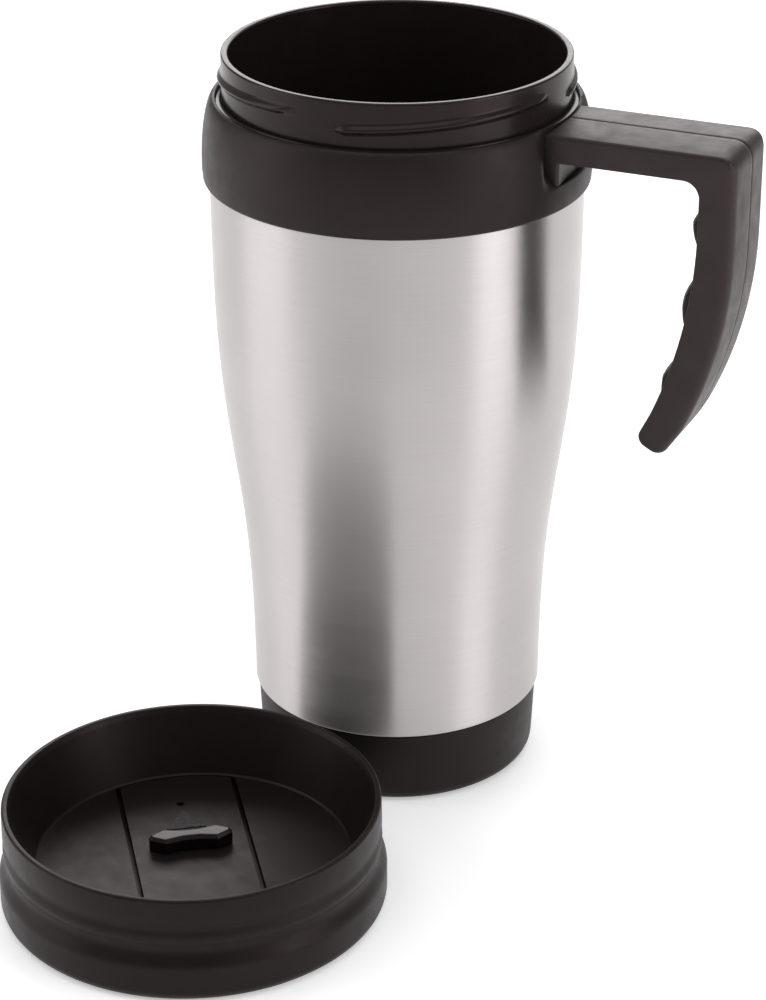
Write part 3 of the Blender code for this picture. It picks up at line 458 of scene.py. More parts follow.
def mixed(nodes, links, value, dark, light):
    mix = nodes.new("ShaderNodeMix")
    mix.data_type = "RGBA"
    mix.inputs["A"].default_value = (*dark, 1.0)
    mix.inputs["B"].default_value = (*light, 1.0)
    links.new(value, mix.inputs["Factor"])
    return mix.outputs["Result"]


def bump(nodes, links, height, distance, strength, normal=None):
    bumped = nodes.new("ShaderNodeBump")
    bumped.inputs["Distance"].default_value = distance
    bumped.inputs["Strength"].default_value = strength
    links.new(height, bumped.inputs["Height"])
    if normal:
        links.new(normal, bumped.inputs["Normal"])
    return bumped.outputs["Normal"]


def weighted_sum(nodes, links, value, weight, extra):
    """value * weight + extra"""
    maths = nodes.new("ShaderNodeMath")
    maths.operation = "MULTIPLY_ADD"
    maths.inputs[1].default_value = weight
    links.new(value, maths.inputs[0])
    links.new(extra, maths.inputs[2])
    return maths.outputs[0]


def cells(nodes, links, scale):
    """Distance from the middle of the nearest cell."""
    texture = nodes.new("ShaderNodeTexVoronoi")
    texture.inputs["Scale"].default_value = scale
    links.new(mapped(nodes, links, UNSTRETCHED), texture.inputs["Vector"])
    return texture.outputs["Distance"]


def brushed_steel():
    """Sheet steel brushed round the body: fine streaks, and highlights drawn out up and down."""
    material, nodes, links, shader = new_material("steel_brushed")
    fine = noise(nodes, links, mapped(nodes, links, (110.0, 110.0, 9000.0)), 1.0, 3.0, 0.6)
    broad = noise(nodes, links, mapped(nodes, links, (75.0, 75.0, 3000.0)), 1.0, 3.0, 0.6)
    cloud = noise(nodes, links, mapped(nodes, links, (16.0, 16.0, 28.0)), 1.0, 3.0, 0.55)
    broad_part = spread(nodes, links, broad, 0.0, 0.38, 0.25, 0.75)
    streaks = weighted_sum(nodes, links, fine, 0.55, broad_part)
    tint = mixed(nodes, links, spread(nodes, links, streaks, 0.0, 1.0, 0.25, 0.75),
                 (0.512, 0.482, 0.480), (0.566, 0.534, 0.531))
    rough = weighted_sum(nodes, links, streaks, 0.16, spread(nodes, links, cloud, 0.28, 0.34))
    links.new(tint, shader.inputs["Base Color"])
    links.new(rough, shader.inputs["Roughness"])
    links.new(bump(nodes, links, streaks, 0.006 * MM, 0.35), shader.inputs["Normal"])
    shader.inputs["Metallic"].default_value = 1.0
    shader.inputs["Anisotropic"].default_value = 0.88
    shader.inputs["Anisotropic Rotation"].default_value = 0.25
    tangent = nodes.new("ShaderNodeTangent")
    tangent.direction_type = "RADIAL"
    tangent.axis = "Z"
    links.new(tangent.outputs["Tangent"], shader.inputs["Tangent"])
    return material


def moulded_plastic(name, dark, light, rough, grain, depth, coat=0.0, specular=0.32):
    """Moulded plastic: a fine grain, slow colour drift and uneven sheen.

    dark and light are the two ends of the colour, rough those of the roughness. The grain is in
    features per metre and its depth in metres.
    """
    material, nodes, links, shader = new_material(name)
    plain = mapped(nodes, links, UNSTRETCHED)
    drift = noise(nodes, links, plain, 60.0, 3.0, 0.6)
    speckle = noise(nodes, links, plain, grain, 2.0, 0.5)
    wear = noise(nodes, links, plain, 220.0, 4.0, 0.6)
    tone = weighted_sum(nodes, links, speckle, 0.35, spread(nodes, links, drift, 0.0, 0.65))
    links.new(mixed(nodes, links, tone, dark, light), shader.inputs["Base Color"])
    links.new(spread(nodes, links, wear, *rough), shader.inputs["Roughness"])
    links.new(bump(nodes, links, speckle, depth, 0.5), shader.inputs["Normal"])
    shader.inputs["Coat Weight"].default_value = coat
    shader.inputs["Coat Roughness"].default_value = 0.08
    shader.inputs["Specular IOR Level"].default_value = specular
    shader.inputs["Specular Tint"].default_value = (1.0, 0.79, 0.78, 1.0)
    return material


def stippled_plastic():
    """The stippled patch of the arrow: small raised dots in black plastic, with painted light on
    the dots' tops and painted shade in the gaps between them.
    """
    material, nodes, links, shader = new_material("plastic_stippled")
    dots = spread(nodes, links, cells(nodes, links, 1700.0), 1.0, 0.0, 0.1, 0.6)
    # painted light and shade: the raised tops of the dots take the lighter colour, the gaps
    # between them the darker one
    tint = mixed(nodes, links, dots, (0.009, 0.007, 0.007), (0.024, 0.020, 0.020))
    links.new(tint, shader.inputs["Base Color"])
    links.new(spread(nodes, links, dots, 0.62, 0.45, 0.0, 1.0), shader.inputs["Roughness"])
    links.new(bump(nodes, links, dots, 0.08 * MM, 0.5), shader.inputs["Normal"])
    return material


def cell_foam():
    """Pale insulating foam with open cells, with painted shade in the cells' hollows."""
    material, nodes, links, shader = new_material("foam_cells")
    pores = spread(nodes, links, cells(nodes, links, 900.0), 0.0, 1.0, 0.1, 0.6)
    # painted shade: the sunken middles of the cells take the darker colour
    tint = mixed(nodes, links, pores, (0.62, 0.60, 0.55), (0.84, 0.82, 0.76))
    links.new(tint, shader.inputs["Base Color"])
    links.new(bump(nodes, links, pores, 0.2 * MM, 0.6), shader.inputs["Normal"])
    shader.inputs["Roughness"].default_value = 0.9
    return material


STEEL = brushed_steel()
COLLAR_PLASTIC = moulded_plastic(
    "plastic_collar", dark=(0.0085, 0.0058, 0.0058), light=(0.0130, 0.0093, 0.0093),
    rough=(0.40, 0.50), grain=2600.0, depth=0.03 * MM, specular=0.26)
HANDLE_PLASTIC = moulded_plastic(
    "plastic_handle", dark=(0.0112, 0.0080, 0.0083), light=(0.0180, 0.0140, 0.0142),
    rough=(0.40, 0.52), grain=1900.0, depth=0.06 * MM, specular=0.42)
GRIP_PLASTIC = moulded_plastic(
    "plastic_grip", dark=(0.0100, 0.0080, 0.0085), light=(0.0165, 0.0140, 0.0145),
    rough=(0.46, 0.58), grain=1900.0, depth=0.06 * MM)
BASE_PLASTIC = moulded_plastic(
    "plastic_base", dark=(0.0048, 0.0034, 0.0036), light=(0.0078, 0.0060, 0.0062),
    rough=(0.42, 0.52), grain=2400.0, depth=0.04 * MM, specular=0.22)
NECK_PLASTIC = moulded_plastic(
    "plastic_neck", dark=(0.0110, 0.0072, 0.0072), light=(0.0160, 0.0110, 0.0110),
    rough=(0.20, 0.28), grain=1200.0, depth=0.008 * MM, coat=0.04, specular=0.20)
LID_PLASTIC = moulded_plastic(
    "plastic_lid", dark=(0.0050, 0.0033, 0.0035), light=(0.0082, 0.0059, 0.0061),
    rough=(0.36, 0.46), grain=2400.0, depth=0.03 * MM, specular=0.21)
DECK_PLASTIC = moulded_plastic(
    "plastic_deck", dark=(0.0050, 0.0036, 0.0038), light=(0.0085, 0.0062, 0.0064),
    rough=(0.36, 0.46), grain=2400.0, depth=0.03 * MM, specular=0.24)
KNOB_PLASTIC = moulded_plastic(
    "plastic_knob", dark=(0.0030, 0.0022, 0.0022), light=(0.0056, 0.0042, 0.0042),
    rough=(0.18, 0.28), grain=1500.0, depth=0.01 * MM, coat=0.12, specular=0.24)
PAD_RUBBER = moulded_plastic(
    "rubber_pad", dark=(0.008, 0.0075, 0.0075), light=(0.016, 0.015, 0.015),
    rough=(0.78, 0.92), grain=1300.0, depth=0.12 * MM)
SEAL_SILICONE = moulded_plastic(
    "silicone_seal", dark=(0.070, 0.069, 0.068), light=(0.11, 0.108, 0.106),
    rough=(0.50, 0.64), grain=900.0, depth=0.02 * MM)
STIPPLE = stippled_plastic()
FOAM = cell_foam()


# ---- mug ----------------------------------------------------------------------------------
def make_sleeve():
    """The steel sleeve: thin sheet with its lower edge folded in."""
    low_radius = body_radius(SHELL_BOTTOM)
    hem_end = low_radius - HEM_DEPTH
    hem_top = SHELL_BOTTOM + HEM_RADIUS
    outside = body_side(hem_top, SHELL_TOP, 0.0, 110)
    inside = body_side(hem_top, SHELL_TOP, SHELL_WALL, 110)
    hem = arc((low_radius - HEM_RADIUS, hem_top), HEM_RADIUS, 0.0, -math.pi / 2, 6)
    hem += [(hem_end, SHELL_BOTTOM), (hem_end, SHELL_BOTTOM + SHELL_WALL)]
    sleeve = turned("steel_sleeve", outside[::-1] + hem[1:] + inside[1:], STEEL)
    place(sleeve, "mug", "brushed_steel", "outer_shell")


def plain_corners(points):
    return [(x, z, 0.0) for x, z in points]


def make_liner():
    """The black liner: floor, side, seat and polished neck with a rounded rim."""
    low = low_corner("inner_liner").z
    wall = NECK_RADIUS - NECK_BORE
    floor_inner = LINER_FLOOR_RADIUS - wall
    neck_low = SHELL_TOP + FIT_GAP
    seat = COLLAR_TOP - GROOVE_DEPTH
    flange_low = seat - FLANGE_THICKNESS
    inside = body_side(LINER_SIDE_LOW, LINER_SIDE_HIGH, LINER_INSET + wall, 40)
    outside = body_side(LINER_SIDE_LOW, LINER_SIDE_HIGH, LINER_INSET, 40)
    corners = [(0.0, low + wall, 0.0), (floor_inner, low + wall, LINER_FLOOR_ROUND)]
    corners += [(floor_inner, LINER_FLOOR_TOP, 0.0)]
    corners += plain_corners(inside)
    corners += [(NECK_BORE, neck_low, 0.0)]
    corners += [(NECK_BORE, RIM_TOP, 0.62 * MM), (NECK_RADIUS, RIM_TOP, 0.5 * MM)]
    corners += [(NECK_RADIUS, seat, 0.9 * MM), (FLANGE_RADIUS, seat, 0.12 * MM)]
    corners += [(FLANGE_RADIUS, flange_low, 0.1 * MM), (LINER_SEAT_RADIUS, flange_low, 0.0)]
    corners += [(LINER_SEAT_RADIUS, neck_low, 0.0)]
    corners += plain_corners(outside[::-1])
    corners += [(LINER_FLOOR_RADIUS, LINER_FLOOR_TOP, 0.0)]
    corners += [(LINER_FLOOR_RADIUS, low, LINER_FLOOR_ROUND), (0.0, low, 0.0)]
    liner = turned("polished_liner", rounded(corners), NECK_PLASTIC, 320)
    place(liner, "mug", "gloss_black", "inner_liner")
    for start in range(THREAD_STARTS):
        first = THREAD_FIRST + start * math.pi / 2
        ridge = thread_ridge(f"neck_ridge_{start + 1}", NECK_RADIUS, NECK_RIDGE_HEIGHT,
                             THREAD_SPAN, first, COLLAR_TOP + THREAD_RISE, NECK_PLASTIC)
        place(ridge, "mug", "gloss_black")


def thread_ridge(name, radius, height, span, first, low, material):
    """One ridge of a thread: a rounded rib with a blunt start and a run-out at its upper end.

    A negative height makes a ridge that stands inwards.
    """
    shape = bmesh.new()
    steps = 72
    rings = []
    for step in range(steps + 1):
        share = step / steps
        start = smoothstep(share / RIDGE_BLUNT_END)
        end = smoothstep((1.0 - share) / RIDGE_RUN_OUT)
        grow = min(0.12 + 0.88 * start, 0.06 + 0.94 * end)
        half = abs(height) * RIDGE_SPREAD * (0.4 + 0.6 * start)
        angle = first + span * share
        middle = low + THREAD_LEAD * span * share / (2 * math.pi)
        root = -RIDGE_ROOT * height
        section = [(root, -half)]
        for turn in range(13):
            across = turn / 6 - 1.0
            out = 0.95 * height * grow * (0.5 + 0.5 * math.cos(math.pi * across))
            section.append((out, half * across))
        section.append((root, half))
        ring = []
        for out, up in section:
            here = radius + out
            point = (here * math.cos(angle), here * math.sin(angle), middle + up)
            ring.append(shape.verts.new(point))
        rings.append(ring)
    close_rings(shape, rings)
    return piece_from(name, shape, material, 40.0)


def collar_side(height):
    """Outside of the collar: upright below, then curving in towards the neck."""
    share = min(1.0, max(0.0, (height - SHOULDER_START) / (COLLAR_TOP - SHOULDER_START)))
    return COLLAR_RADIUS - SHOULDER_INSET * (1.0 - math.sqrt(1.0 - share ** 1.8))


def collar_radius_at(radius, height, angle):
    """Take the handle's pocket out of the collar: a ledge under its foot, hollows beside it."""
    if radius < POCKET_RADIUS or math.cos(angle) < 0.5 or height < POCKET_FADE_LOW:
        return radius
    across = abs(radius * math.sin(angle))
    if across <= POCKET_HALF:
        if height >= POCKET_LEDGE:
            return POCKET_RADIUS
        lift = max(0.0, (height - POCKET_LEDGE + POCKET_LEDGE_ROUND) / POCKET_LEDGE_ROUND)
        return radius - POCKET_LEDGE_ROUND * (1.0 - math.sqrt(max(0.0, 1.0 - lift * lift)))
    flare = smoothstep((across - POCKET_HALF) / (POCKET_FLARE - POCKET_HALF))
    fade = smoothstep((height - POCKET_FADE_LOW) / (POCKET_FADE_HIGH - POCKET_FADE_LOW))
    return radius - (radius - POCKET_RADIUS) * (1.0 - flare) * fade


def make_collar():
    """The collar: a groove round the neck's flange, a curved shoulder and a rounded foot."""
    floor = COLLAR_TOP - GROOVE_DEPTH - FLANGE_THICKNESS - FLANGE_CLEARANCE
    profile = [(COLLAR_LIP_RADIUS, floor), (GROOVE_RADIUS, floor)]
    profile += [(GROOVE_RADIUS, COLLAR_TOP - 0.16 * MM)]
    profile += [(GROOVE_RADIUS + 0.05 * MM, COLLAR_TOP - 0.04 * MM)]
    profile += [(GROOVE_RADIUS + 0.14 * MM, COLLAR_TOP)]
    high = COLLAR_TOP - 0.03 * MM
    low = POCKET_LEDGE + 0.03 * MM
    for step in range(31):
        height = low + (high - low) * math.cos(math.pi / 2 * step / 30)
        profile.append((collar_side(height), height))
    for drop in (0.0, 0.04, 0.1, 0.2, 0.3, 0.4, 1.0):
        height = POCKET_LEDGE - drop * MM
        profile.append((collar_side(height), height))
    profile += [(COLLAR_RADIUS, COLLAR_BOTTOM + 4.0 * MM)]
    profile += [(COLLAR_RADIUS, COLLAR_BOTTOM + 2.4 * MM)]
    profile += [(COLLAR_RADIUS - 0.12 * MM, COLLAR_BOTTOM + 1.4 * MM)]
    foot_round = 0.8 * MM
    foot_centre = (COLLAR_RADIUS - 0.95 * MM, COLLAR_BOTTOM + foot_round)
    profile += arc(foot_centre, foot_round, 0.0, -math.pi / 2, 6)
    bore = SHOULDER_RADIUS + FIT_GAP
    ceiling = SHELL_TOP + FIT_GAP
    profile += [(bore, COLLAR_BOTTOM), (bore, ceiling), (COLLAR_LIP_RADIUS, ceiling)]
    collar = turned("moulded_collar", profile, COLLAR_PLASTIC, 512, 32.0, collar_radius_at)
    place(collar, "mug", "matte_black", "collar")


def make_base():
    """The base cup: a spigot up into the sleeve and a hollow underneath for the pad."""
    spigot = body_radius(SHELL_BOTTOM) - SPIGOT_INSET
    spigot_inner = spigot - SPIGOT_WALL
    corners = [(0.0, BASE_FLOOR, 0.0), (spigot_inner, BASE_FLOOR, 1.0 * MM)]
    corners += [(spigot_inner, SPIGOT_TOP, 0.3 * MM), (spigot, SPIGOT_TOP, 0.3 * MM)]
    corners += [(spigot, BASE_TOP, 0.0), (BASE_RADIUS, BASE_TOP, 0.35 * MM)]
    corners += [(BASE_RADIUS - BASE_FOOT_INSET, 0.0, BASE_FOOT_ROUND)]
    corners += [(BASE_HOLE_RADIUS, 0.0, 0.4 * MM), (BASE_HOLE_RADIUS, BASE_HOLE_DEPTH, 0.0)]
    corners += [(0.0, BASE_HOLE_DEPTH, 0.0)]
    cup = turned("base_moulding", rounded(corners), BASE_PLASTIC, 288)
    place(cup, "mug", "matte_black", "base_cup")


# ---- handle -------------------------------------------------------------------------------
def bend_x(radius, inside, bend_top, height):
    """X of a side that runs straight down to bend_top and then bends in towards the mug."""
    drop = max(0.0, bend_top - height)
    return inside - radius + math.sqrt(radius * radius - drop * drop)


def back_x(height):
    return bend_x(BACK_BEND, GRIP_OUTSIDE, HANDLE_TOP - BACK_BEND_START, height)


def front_x(height):
    return bend_x(FRONT_BEND, GRIP_INSIDE, HANDLE_TOP - FRONT_BEND_START, height)


def handle_outline():
    """Side view of the handle in X and Z, with its foot."""
    top = HANDLE_TOP - TOP_CROWN
    under = HANDLE_TOP - ARM_THICKNESS
    foot_bottom = under - FOOT_HANG
    tip = HANDLE_TIP - TIP_LIFT
    slant_top = tip + TIP_SLANT
    corners = [(GRIP_OUTSIDE, top, BACK_CORNER)]
    back_high = HANDLE_TOP - BACK_BEND_START
    back_low = tip + BACK_END
    for step in range(25):
        height = back_high + (back_low - back_high) * step / 24
        corners.append((back_x(height), height, 0.0))
    corners += [(back_x(tip) - TIP_BACK_INSET, tip, TIP_ROUND)]
    corners += [(front_x(slant_top) - TIP_FRONT_INSET, slant_top, TIP_ROUND)]
    front_low = tip + FRONT_END
    front_high = HANDLE_TOP - FRONT_BEND_START
    for step in range(25):
        height = front_low + (front_high - front_low) * step / 24
        corners.append((front_x(height), height, 0.0))
    corners += [(GRIP_INSIDE, under, ARM_CORNER)]
    corners += [(FOOT_FACE, under, 0.5 * MM), (FOOT_FACE, foot_bottom, 0.35 * MM)]
    corners += [(FOOT_ROOT, foot_bottom, 0.0), (FOOT_ROOT, top, 0.0)]
    return rounded(corners, 8)


def normals_of(outline):
    """Unit vectors that point into a closed outline from each of its points."""
    area = sum(a[0] * b[1] - b[0] * a[1] for a, b in zip(outline, outline[1:] + outline[:1]))
    turn = 1.0 if area > 0 else -1.0
    normals = []
    count = len(outline)
    for index, here in enumerate(outline):
        before = (Vector(here) - Vector(outline[index - 1])).normalized()
        after = (Vector(outline[(index + 1) % count]) - Vector(here)).normalized()
        normal = Vector((-before.y - after.y, before.x + after.x)).normalized() * turn
        lean = max(0.6, normal.dot(Vector((-after.y, after.x)) * turn))
        normals.append(normal / lean)
    return normals


def crowned(x, z, amount):
    """Lift a point of the top, and push out a point of the back, by its share of the crown."""
    top = HANDLE_TOP - TOP_CROWN
    above = min(1.0, max(0.0, (z - top + BACK_CORNER) / BACK_CORNER))
    middle = (back_x(z) + front_x(z)) / 2
    rise = TOP_CROWN * amount * above
    push = 0.0
    if z > HANDLE_TIP + 2.0 * MM:
        push = BACK_CROWN * amount * min(1.0, max(0.0, (x - middle) / (back_x(z) - middle)))
    return x + push, z + rise


def edge_round(x, z):
    """Rounding of the handle's long edges: wide down the back, crisp along the top and inside."""
    middle = (back_x(z) + front_x(z)) / 2
    outward = smoothstep((x - middle) / (back_x(z) - middle))
    below = smoothstep((HANDLE_TOP - TOP_CROWN - z) / BACK_CORNER)
    above_tip = 0.45 + 0.55 * smoothstep((z - HANDLE_TIP) / (40.0 * MM))
    return TOP_EDGE_ROUND + (BACK_EDGE_ROUND - TOP_EDGE_ROUND) * outward * below * above_tip


def handle_sections(round_off):
    """Pairs of distance from the seam and inset, for a given edge rounding."""
    sections = [(SEAM_HALF, 0.16 * MM), (SEAM_HALF + 0.03 * MM, 0.07 * MM)]
    sections += [(SEAM_HALF + 0.12 * MM, 0.0)]
    flat = HANDLE_HALF - round_off
    sections += [(flat * share, 0.0) for share in (0.12, 0.3, 0.5, 0.7, 0.86, 0.95)]
    for step in range(8):
        angle = math.pi / 2 * step / 7
        sections.append((flat + round_off * math.sin(angle), round_off * (1 - math.cos(angle))))
    return sections


def make_handle_half(name, side, node):
    """One half of the handle. side is 1 to the handle's left and -1 to its right."""
    outline = handle_outline()
    inward = normals_of(outline)
    under = HANDLE_TOP - ARM_THICKNESS
    foot_bottom = under - FOOT_HANG
    shape = bmesh.new()
    strips = []
    for (x, z), inner in zip(outline, inward):
        strip = []
        for depth, inset in handle_sections(edge_round(x, z)):
            amount = 1.0 - (depth / HANDLE_HALF) ** 2
            on_foot_bottom = x < FOOT_FACE + 0.1 * MM and z < foot_bottom + 0.4 * MM
            drop = 0.0 if on_foot_bottom else inner.y * inset
            if x < FOOT_ROOT + 0.1 * MM:
                root = math.sqrt(FOOT_BACK_RADIUS ** 2 - depth ** 2)
                crown = TOP_CROWN * amount if z > under else 0.0
                strip.append(shape.verts.new((root, side * depth, z + drop + crown)))
                continue
            new_x, new_z = crowned(x, z, amount)
            strip.append(shape.verts.new((new_x + inner.x * inset, side * depth, new_z + drop)))
        strips.append(strip)
    for near, far in zip(strips, strips[1:] + strips[:1]):
        for index in range(len(near) - 1):
            shape.faces.new((near[index], near[index + 1], far[index + 1], far[index]))
    shape.faces.new([strip[0] for strip in strips])
    shape.faces.new([strip[-1] for strip in strips])
    half = piece_from(name, shape, HANDLE_PLASTIC, 50.0)
    place(half, "mug", "handle_black", node)


def bump_height(height):
    """How far the finger grip stands out at a height: rounded bumps with straights between."""
    for middle, length, rise in BUMPS:
        away = abs(height - middle) / (length / 2)
        if away < 1.0:
            return GRIP_PROUD + rise * math.cos(math.pi / 2 * away) ** 0.8
    return GRIP_PROUD


def make_finger_grip():
    """The strip of finger bumps: its sides sink into the handle and its ends taper off."""
    shape = bmesh.new()
    rings = []
    rows = 120
    for row in range(rows + 1):
        height = BUMP_TOP + (BUMP_BOTTOM - BUMP_TOP) * row / rows
        front = front_x(height)
        back = front + GRIP_DEPTH
        end = min(1.0, 0.15 + 6.0 * min(row, rows - row) / rows)
        lift = bump_height(height) * end
        ring = [shape.verts.new((back, -GRIP_HALF, height))]
        for step in range(17):
            across = -1.0 + step / 8
            round_off = max(0.0, 1.0 - abs(across) ** 3.2) ** 0.5
            out = front + GRIP_SIDE_SINK - (lift + GRIP_SIDE_SINK) * round_off
            ring.append(shape.verts.new((out, GRIP_HALF * across, height)))
        ring.append(shape.verts.new((back, GRIP_HALF, height)))
        rings.append(ring)
    close_rings(shape, rings)
    grip = piece_from("finger_bumps", shape, GRIP_PLASTIC, 50.0)
    place(grip, "mug", "grip_black", "finger_grip")


# ---- lid ----------------------------------------------------------------------------------
def bowl_radius(height):
    """Inside of the lid's bowl: straight from the deck's edge out to the rim."""
    low = DECK_HEIGHT + DECK_EDGE
    high = LID_TOP - 1.5 * MM
    share = (height - low) / (high - low)
    return DECK_RADIUS + DECK_EDGE + (BOWL_TOP_RADIUS - DECK_RADIUS - DECK_EDGE) * share


def bowl_back(height):
    return bowl_radius(height) + BOWL_WALL


def channel_outline(half, radius):
    """A strip along X with ends that follow a circle."""
    reach = math.asin(half / radius)
    far = arc((0.0, 0.0), radius, -reach, reach, 24)
    near = arc((0.0, 0.0), radius, math.pi - reach, math.pi + reach, 24)
    return far + near


def stadium(reach, length, width):
    """A slot across X with round ends, at reach along X."""
    radius = width / 2
    straight = length / 2 - radius
    ends = arc((reach, straight), radius, 0.0, math.pi, 16)
    return ends + arc((reach, -straight), radius, math.pi, 2 * math.pi, 16)


def make_lid_bowl():
    """The lid's bowl: deck, side, rim band and plug, with the channel and holes cut out."""
    deck_edge = DECK_HEIGHT + DECK_EDGE
    rim_inside = LID_TOP - 1.3 * MM
    band_inside = BAND_RADIUS - BAND_WALL
    corners = [(0.0, DECK_HEIGHT, 0.0), (DECK_RADIUS, DECK_HEIGHT, 0.15 * MM)]
    corners += [(bowl_radius(deck_edge), deck_edge, 0.15 * MM)]
    corners += [(bowl_radius(rim_inside), rim_inside, 1.0 * MM)]
    corners += [(BAND_RADIUS - 1.35 * MM, LID_TOP, 0.45 * MM)]
    corners += [(BAND_RADIUS - 0.05 * MM, LID_TOP, 0.55 * MM)]
    corners += [(BAND_RADIUS + 0.05 * MM, BAND_BOTTOM, 0.25 * MM)]
    corners += [(band_inside, BAND_BOTTOM, 0.0), (band_inside, BAND_SHELF, 0.3 * MM)]
    corners += [(bowl_back(WEB_HIGH), WEB_HIGH, 0.0)]
    corners += [(bowl_back(PLUG_SHOULDER), PLUG_SHOULDER, 0.2 * MM)]
    corners += [(PLUG_RADIUS, PLUG_TOP, 0.1 * MM), (PLUG_RADIUS, PLUG_BOTTOM, 0.6 * MM)]
    corners += [(0.0, PLUG_BOTTOM, 0.0)]
    bowl = turned("lid_bowl_moulding", rounded(corners), LID_PLASTIC, 320)
    channel = channel_outline(CHANNEL_HALF, DECK_RADIUS)
    drinking_hole = stadium(DRINK_REACH, DRINK_LENGTH, DRINK_WIDTH)
    vent = circle(DECK_VENT_REACH, VENT_RADIUS, 24)
    stem_slot = rectangle(STEM_SLOT_START, STEM_SLOT_END, STEM_HOLE_HALF)
    carve(bowl, [prism_shape(channel, CHANNEL_FLOOR, CHANNEL_CUT_TOP),
                 prism_shape(drinking_hole, 0.0, DECK_HEIGHT),
                 prism_shape(vent, 0.0, DECK_HEIGHT),
                 prism_shape(stem_slot, 0.0, DECK_HEIGHT)])
    place(to_lid(bowl), "lid", "lid_black", "lid_bowl")


def make_lid_skirt():
    """The lid's skirt: waist with its bead, belly, rounded foot, inside web and thread."""
    top = BAND_BOTTOM - SKIRT_GAP
    profile = [(SKIRT_BORE, top), (WAIST_RADIUS + 0.15 * MM, top)]
    for step in range(21):
        away = 1.0 - step / 10
        bead = BEAD_RISE * (1.0 + math.cos(math.pi * away)) / 2
        radius = WAIST_RADIUS + 0.1 * MM * max(0.0, away) + bead
        profile.append((radius, BEAD_HEIGHT + BEAD_REACH * away))
    for step in range(1, 17):
        share = step / 16
        swell = (SKIRT_RADIUS - WAIST_RADIUS) * (1.0 - math.cos(math.pi * share)) / 2
        height = SKIRT_WAIST_HEIGHT + (BELLY_HEIGHT - SKIRT_WAIST_HEIGHT) * share
        profile.append((WAIST_RADIUS + swell, height))
    foot_centre = (SKIRT_RADIUS - SKIRT_FOOT_ROUND, SKIRT_FOOT_ROUND)
    profile += arc(foot_centre, SKIRT_FOOT_ROUND, 0.0, -math.pi / 2, 10)
    profile += [(SKIRT_BORE + 0.1 * MM, 0.0), (SKIRT_BORE, 0.3 * MM), (SKIRT_BORE, WEB_LOW)]
    web_inner = bowl_back(WEB_HIGH) + FIT_GAP
    profile += [(web_inner, WEB_LOW), (web_inner, WEB_HIGH)]
    profile += [(SKIRT_BORE - 0.6 * MM, WEB_HIGH), (SKIRT_BORE, WEB_HIGH + 1.1 * MM)]
    skirt = turned("lid_skirt_moulding", profile, LID_PLASTIC, 320, 28.0)
    place(to_lid(skirt), "lid", "lid_black", "lid_skirt")
    offset_rise = THREAD_LEAD * LID_THREAD_OFFSET / (2 * math.pi)
    low = THREAD_RISE + offset_rise - LID_THREAD_DROP
    for start in range(THREAD_STARTS):
        first = THREAD_FIRST + LID_THREAD_OFFSET + start * math.pi / 2
        ridge = thread_ridge(f"lid_ridge_{start + 1}", SKIRT_BORE, -LID_RIDGE_HEIGHT,
                             LID_THREAD_SPAN, first, low, LID_PLASTIC)
        place(to_lid(ridge), "lid", "lid_black")


def make_slider():
    """The sliding cover, with holes for vent and stem and a pocket under it, and its arrow."""
    low = CHANNEL_FLOOR + FIT_GAP
    radius = DECK_RADIUS - FIT_GAP
    reach = math.asin(SLIDER_HALF / radius)
    corners = plain_corners(arc((0.0, 0.0), radius, -reach, reach, 30))
    corners += [(SLIDER_END, SLIDER_HALF, 2.0 * MM), (SLIDER_END, -SLIDER_HALF, 2.0 * MM)]
    plate = piece_from("slider_cover", prism_shape(rounded(corners, 8), low, DECK_HEIGHT),
                       DECK_PLASTIC)
    vent = circle(SLIDER_VENT_REACH, VENT_RADIUS, 32)
    stem_hole = rectangle(KNOB_REACH - STEM_HOLE_HALF, KNOB_REACH + STEM_HOLE_HALF,
                          STEM_HOLE_HALF)
    pocket = stadium(DRINK_REACH, DRINK_LENGTH + PAD_MARGIN, DRINK_WIDTH + PAD_MARGIN)
    carve(plate, [prism_shape(vent, 0.0, LID_TOP),
                  prism_shape(stem_hole, 0.0, LID_TOP),
                  prism_shape(pocket, 0.0, low + PAD_POCKET_DEPTH)])
    soften(plate, 0.22 * MM, 3, 50.0)
    place(to_lid(plate), "slider", "lid_black", "slider_plate")
    arrow = [(ARROW_START, -ARROW_HALF, ARROW_ROUND), (ARROW_END, 0.0, ARROW_ROUND)]
    arrow += [(ARROW_START, ARROW_HALF, ARROW_ROUND)]
    mark_shape = prism_shape(rounded(arrow), DECK_HEIGHT - ARROW_ROOT, DECK_HEIGHT + ARROW_RISE)
    mark = piece_from("slider_arrow", mark_shape, STIPPLE)
    soften(mark, 0.1 * MM, 2, 50.0)
    place(to_lid(mark), "slider", "lid_black")


def knob_outline(inset):
    """The knob from above: two wide ends and a waist, made smaller all round by inset."""
    end = KNOB_HALF_LENGTH - inset
    wide = KNOB_HALF_WIDTH - inset
    waist = KNOB_WAIST - inset
    tip = KNOB_TIP - inset * 0.3
    waist_end = 1.9 * MM
    right = [(-tip, end), (-wide, KNOB_SHOULDER), (-waist, waist_end), (-waist, -waist_end)]
    right += [(-wide, -KNOB_SHOULDER), (-tip, -end)]
    return right + [(-x, y) for x, y in right[::-1]]


